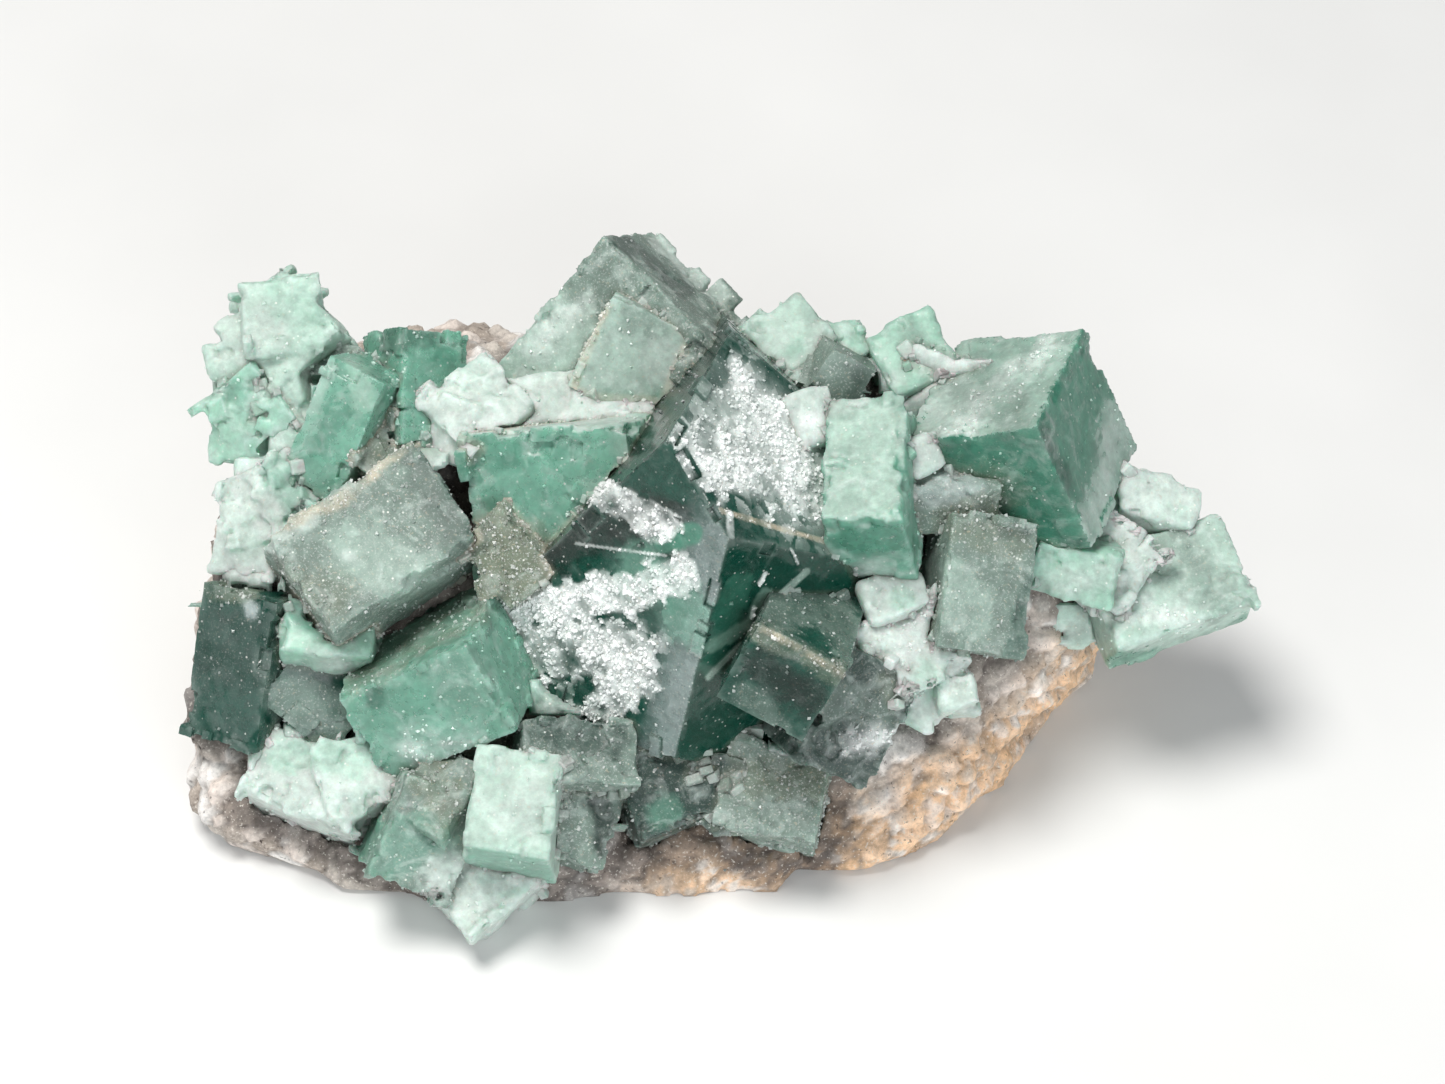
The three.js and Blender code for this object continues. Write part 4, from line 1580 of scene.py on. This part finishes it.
def makeRock():
    look = rockLook
    obj = newObject("matrix_rock", cleanCopy("matrix_rock", "rock_matrix", look["grow"] * mm))
    modifier = obj.modifiers.new("fine surface", "REMESH")
    modifier.mode = "VOXEL"
    modifier.voxel_size = look["spacing"] * mm
    applyModifiers(obj)
    mesh = obj.data
    for polygon in mesh.polygons:
        polygon.use_smooth = True
    points = coordinates(mesh)
    normals = vertexNormals(mesh)
    warp = np.stack([layeredNoise(points, 3 * mm, 60 + axis, 3) for axis in range(3)], 1)
    warped = points + warp * look["warp"] * mm
    hill, tag = cellLumps(warped, look["lumpSize"] * mm, 3)
    small, smallTag = cellLumps(warped, look["smallSize"] * mm, 8)
    broad = layeredNoise(points, look["broadSize"] * mm, 5, 3)
    grit = softNoise(points, look["gritSize"] * mm, 9)
    height = look["broad"] * broad + look["lumps"] * (smoothStep(hill, 0, 0.55) - 0.6 + 0.5 * (tag - 0.5))
    height = height + look["grit"] * (small + 0.5 * grit)
    # the underside stays flat, to rest on
    low = boxLow[2]
    standing = smoothStep(points[:, 2] - low, *(end * mm for end in look["flatBelow"]))
    moved = points + normals * (height * standing * mm)[:, None]
    moved[:, 2] = np.maximum(moved[:, 2], low)
    setCoordinates(mesh, moved)
    # colours, grain by grain
    colour = np.tile(np.array(look["brown"]), (len(points), 1))
    mixIn(colour, look["grey"], smoothStep(tag, 0.25, 0.35) * 0.85)
    mixIn(colour, look["pink"], smoothStep(tag, 0.5, 0.58) * 0.85)
    mixIn(colour, look["white"], smoothStep(tag + 0.1 * smallTag, 0.84, 0.9) * 0.85)
    mixIn(colour, look["rusty"], rustyShare(points, broad, smallTag))
    # painted shade: darker between the grains and beside the crystals, where shade falls
    hollowShade = 1 - smoothStep(hill + 0.3 * small, 0.02, 0.3)
    tree = frameTree("rock_matrix")
    beside = smoothStep(nearness(tree, points, look["shadeReach"] * mm) + 0.25 * broad, 0.2, 0.8)
    mixIn(colour, look["shadow"], np.clip(hollowShade * 0.45 + beside * 0.75, 0, 0.92))
    storeColour(mesh, "tint", np.clip(colour * (1 + 0.2 * grit)[:, None], 0, 1))
    mesh.materials.append(rockMaterial)
    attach(obj, "root")
    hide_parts("rock_matrix")


def makeRockMaterial():
    material, tree, shader = nodeMaterial("matrix rock")
    tint = attribute(tree, "tint", "Color")
    colour = mottled(tree, tint, noiseNode(tree, 0.6, 8, 0.7), 0.75, 1.45)
    specks = spread(tree, noiseNode(tree, 0.3, 2, 0.5), 0.62, 0.68, 0, 0.7)
    colour = mixColour(tree, specks, colour, rockLook["paleSpecks"])
    darkSpecks = spread(tree, noiseNode(tree, 0.5, 3, 0.5, 0.6), 0.64, 0.70, 0, 0.6)
    colour = mixColour(tree, darkSpecks, colour, rockLook["darkSpecks"])
    tree.links.new(colour, shader.inputs["Base Color"])
    rough = spread(tree, noiseNode(tree, 1.0, 4), *usualNoise, 0.55, 0.95)
    tree.links.new(rough, shader.inputs["Roughness"])
    addBump(tree, shader, noiseNode(tree, 0.45, 7, 0.72), 0.8, 0.25)
    return material


rockMaterial = makeRockMaterial()
makeRock()
growCrust()
print("rock and crust made")


floorLook = {
    "size": 1.6,  # metres from its middle to its edge
    "gap": 0.05,  # mm under the specimen
    "colour": (0.74, 0.74, 0.73),
    "roughness": 0.7,
}


def makeFloor():
    bm = bmesh.new()
    bmesh.ops.create_grid(bm, x_segments=8, y_segments=8, size=floorLook["size"])
    mesh = bpy.data.meshes.new("floor")
    bm.to_mesh(mesh)
    bm.free()
    floor = newObject("floor", mesh)
    floor.location = (0, 0, boxLow[2] - floorLook["gap"] * mm)
    material, tree, shader = nodeMaterial("pale floor")
    colour = mottled(tree, floorLook["colour"], noiseNode(tree, 60, 3), 0.96, 1.03)
    tree.links.new(colour, shader.inputs["Base Color"])
    shader.inputs["Roughness"].default_value = floorLook["roughness"]
    mesh.materials.append(material)


lights = {
    "key": {"at": (-0.13, 0.02, 0.52), "size": 0.24, "power": 3.0, "colour": (1.0, 0.985, 0.96)},
    "fill": {"at": (0.20, -0.50, 0.22), "size": 0.50, "power": 2.2, "colour": (0.95, 0.98, 1.0)},
    "side": {"at": (-0.48, -0.22, 0.20), "size": 0.30, "power": 0.45, "colour": (1.0, 1.0, 1.0)},
}
sky = {"colour": (0.93, 0.96, 1.0, 1.0), "strength": 0.25}


def addLights():
    for name, look in lights.items():
        data = bpy.data.lights.new(name, "AREA")
        data.shape = "DISK"
        data.size = look["size"]
        data.energy = look["power"]
        data.color = look["colour"]
        lamp = newObject(name, data)
        lamp.location = Vector(look["at"]) + Vector(faceOrigin)
        aim = Vector(faceOrigin) - lamp.location
        lamp.rotation_euler = aim.to_track_quat("-Z", "Y").to_euler()
    world = bpy.data.worlds.new("studio")
    world.use_nodes = True
    background = world.node_tree.nodes["Background"]
    background.inputs["Color"].default_value = sky["colour"]
    background.inputs["Strength"].default_value = sky["strength"]
    bpy.context.scene.world = world


cameraLook = {
    "distance": 400,  # mm from the middle of the crystal face
    "across": 144.5,  # mm that the picture takes in there
    "sensor": 36,
    "nearest": 10,
}


def addCamera():
    data = bpy.data.cameras.new("camera")
    data.sensor_width = cameraLook["sensor"]
    data.lens = cameraLook["sensor"] * cameraLook["distance"] / cameraLook["across"]
    data.clip_start = cameraLook["nearest"] * mm
    camera = newObject("camera", data)
    camera.location = Vector(faceOrigin) + Vector(faceOut) * cameraLook["distance"] * mm
    camera.rotation_euler = (-Vector(faceOut)).to_track_quat("-Z", "Y").to_euler()
    bpy.context.scene.camera = camera
    bpy.context.scene.view_settings.view_transform = "Standard"


makeFloor()
addLights()
addCamera()
print("floor, lights and camera placed")
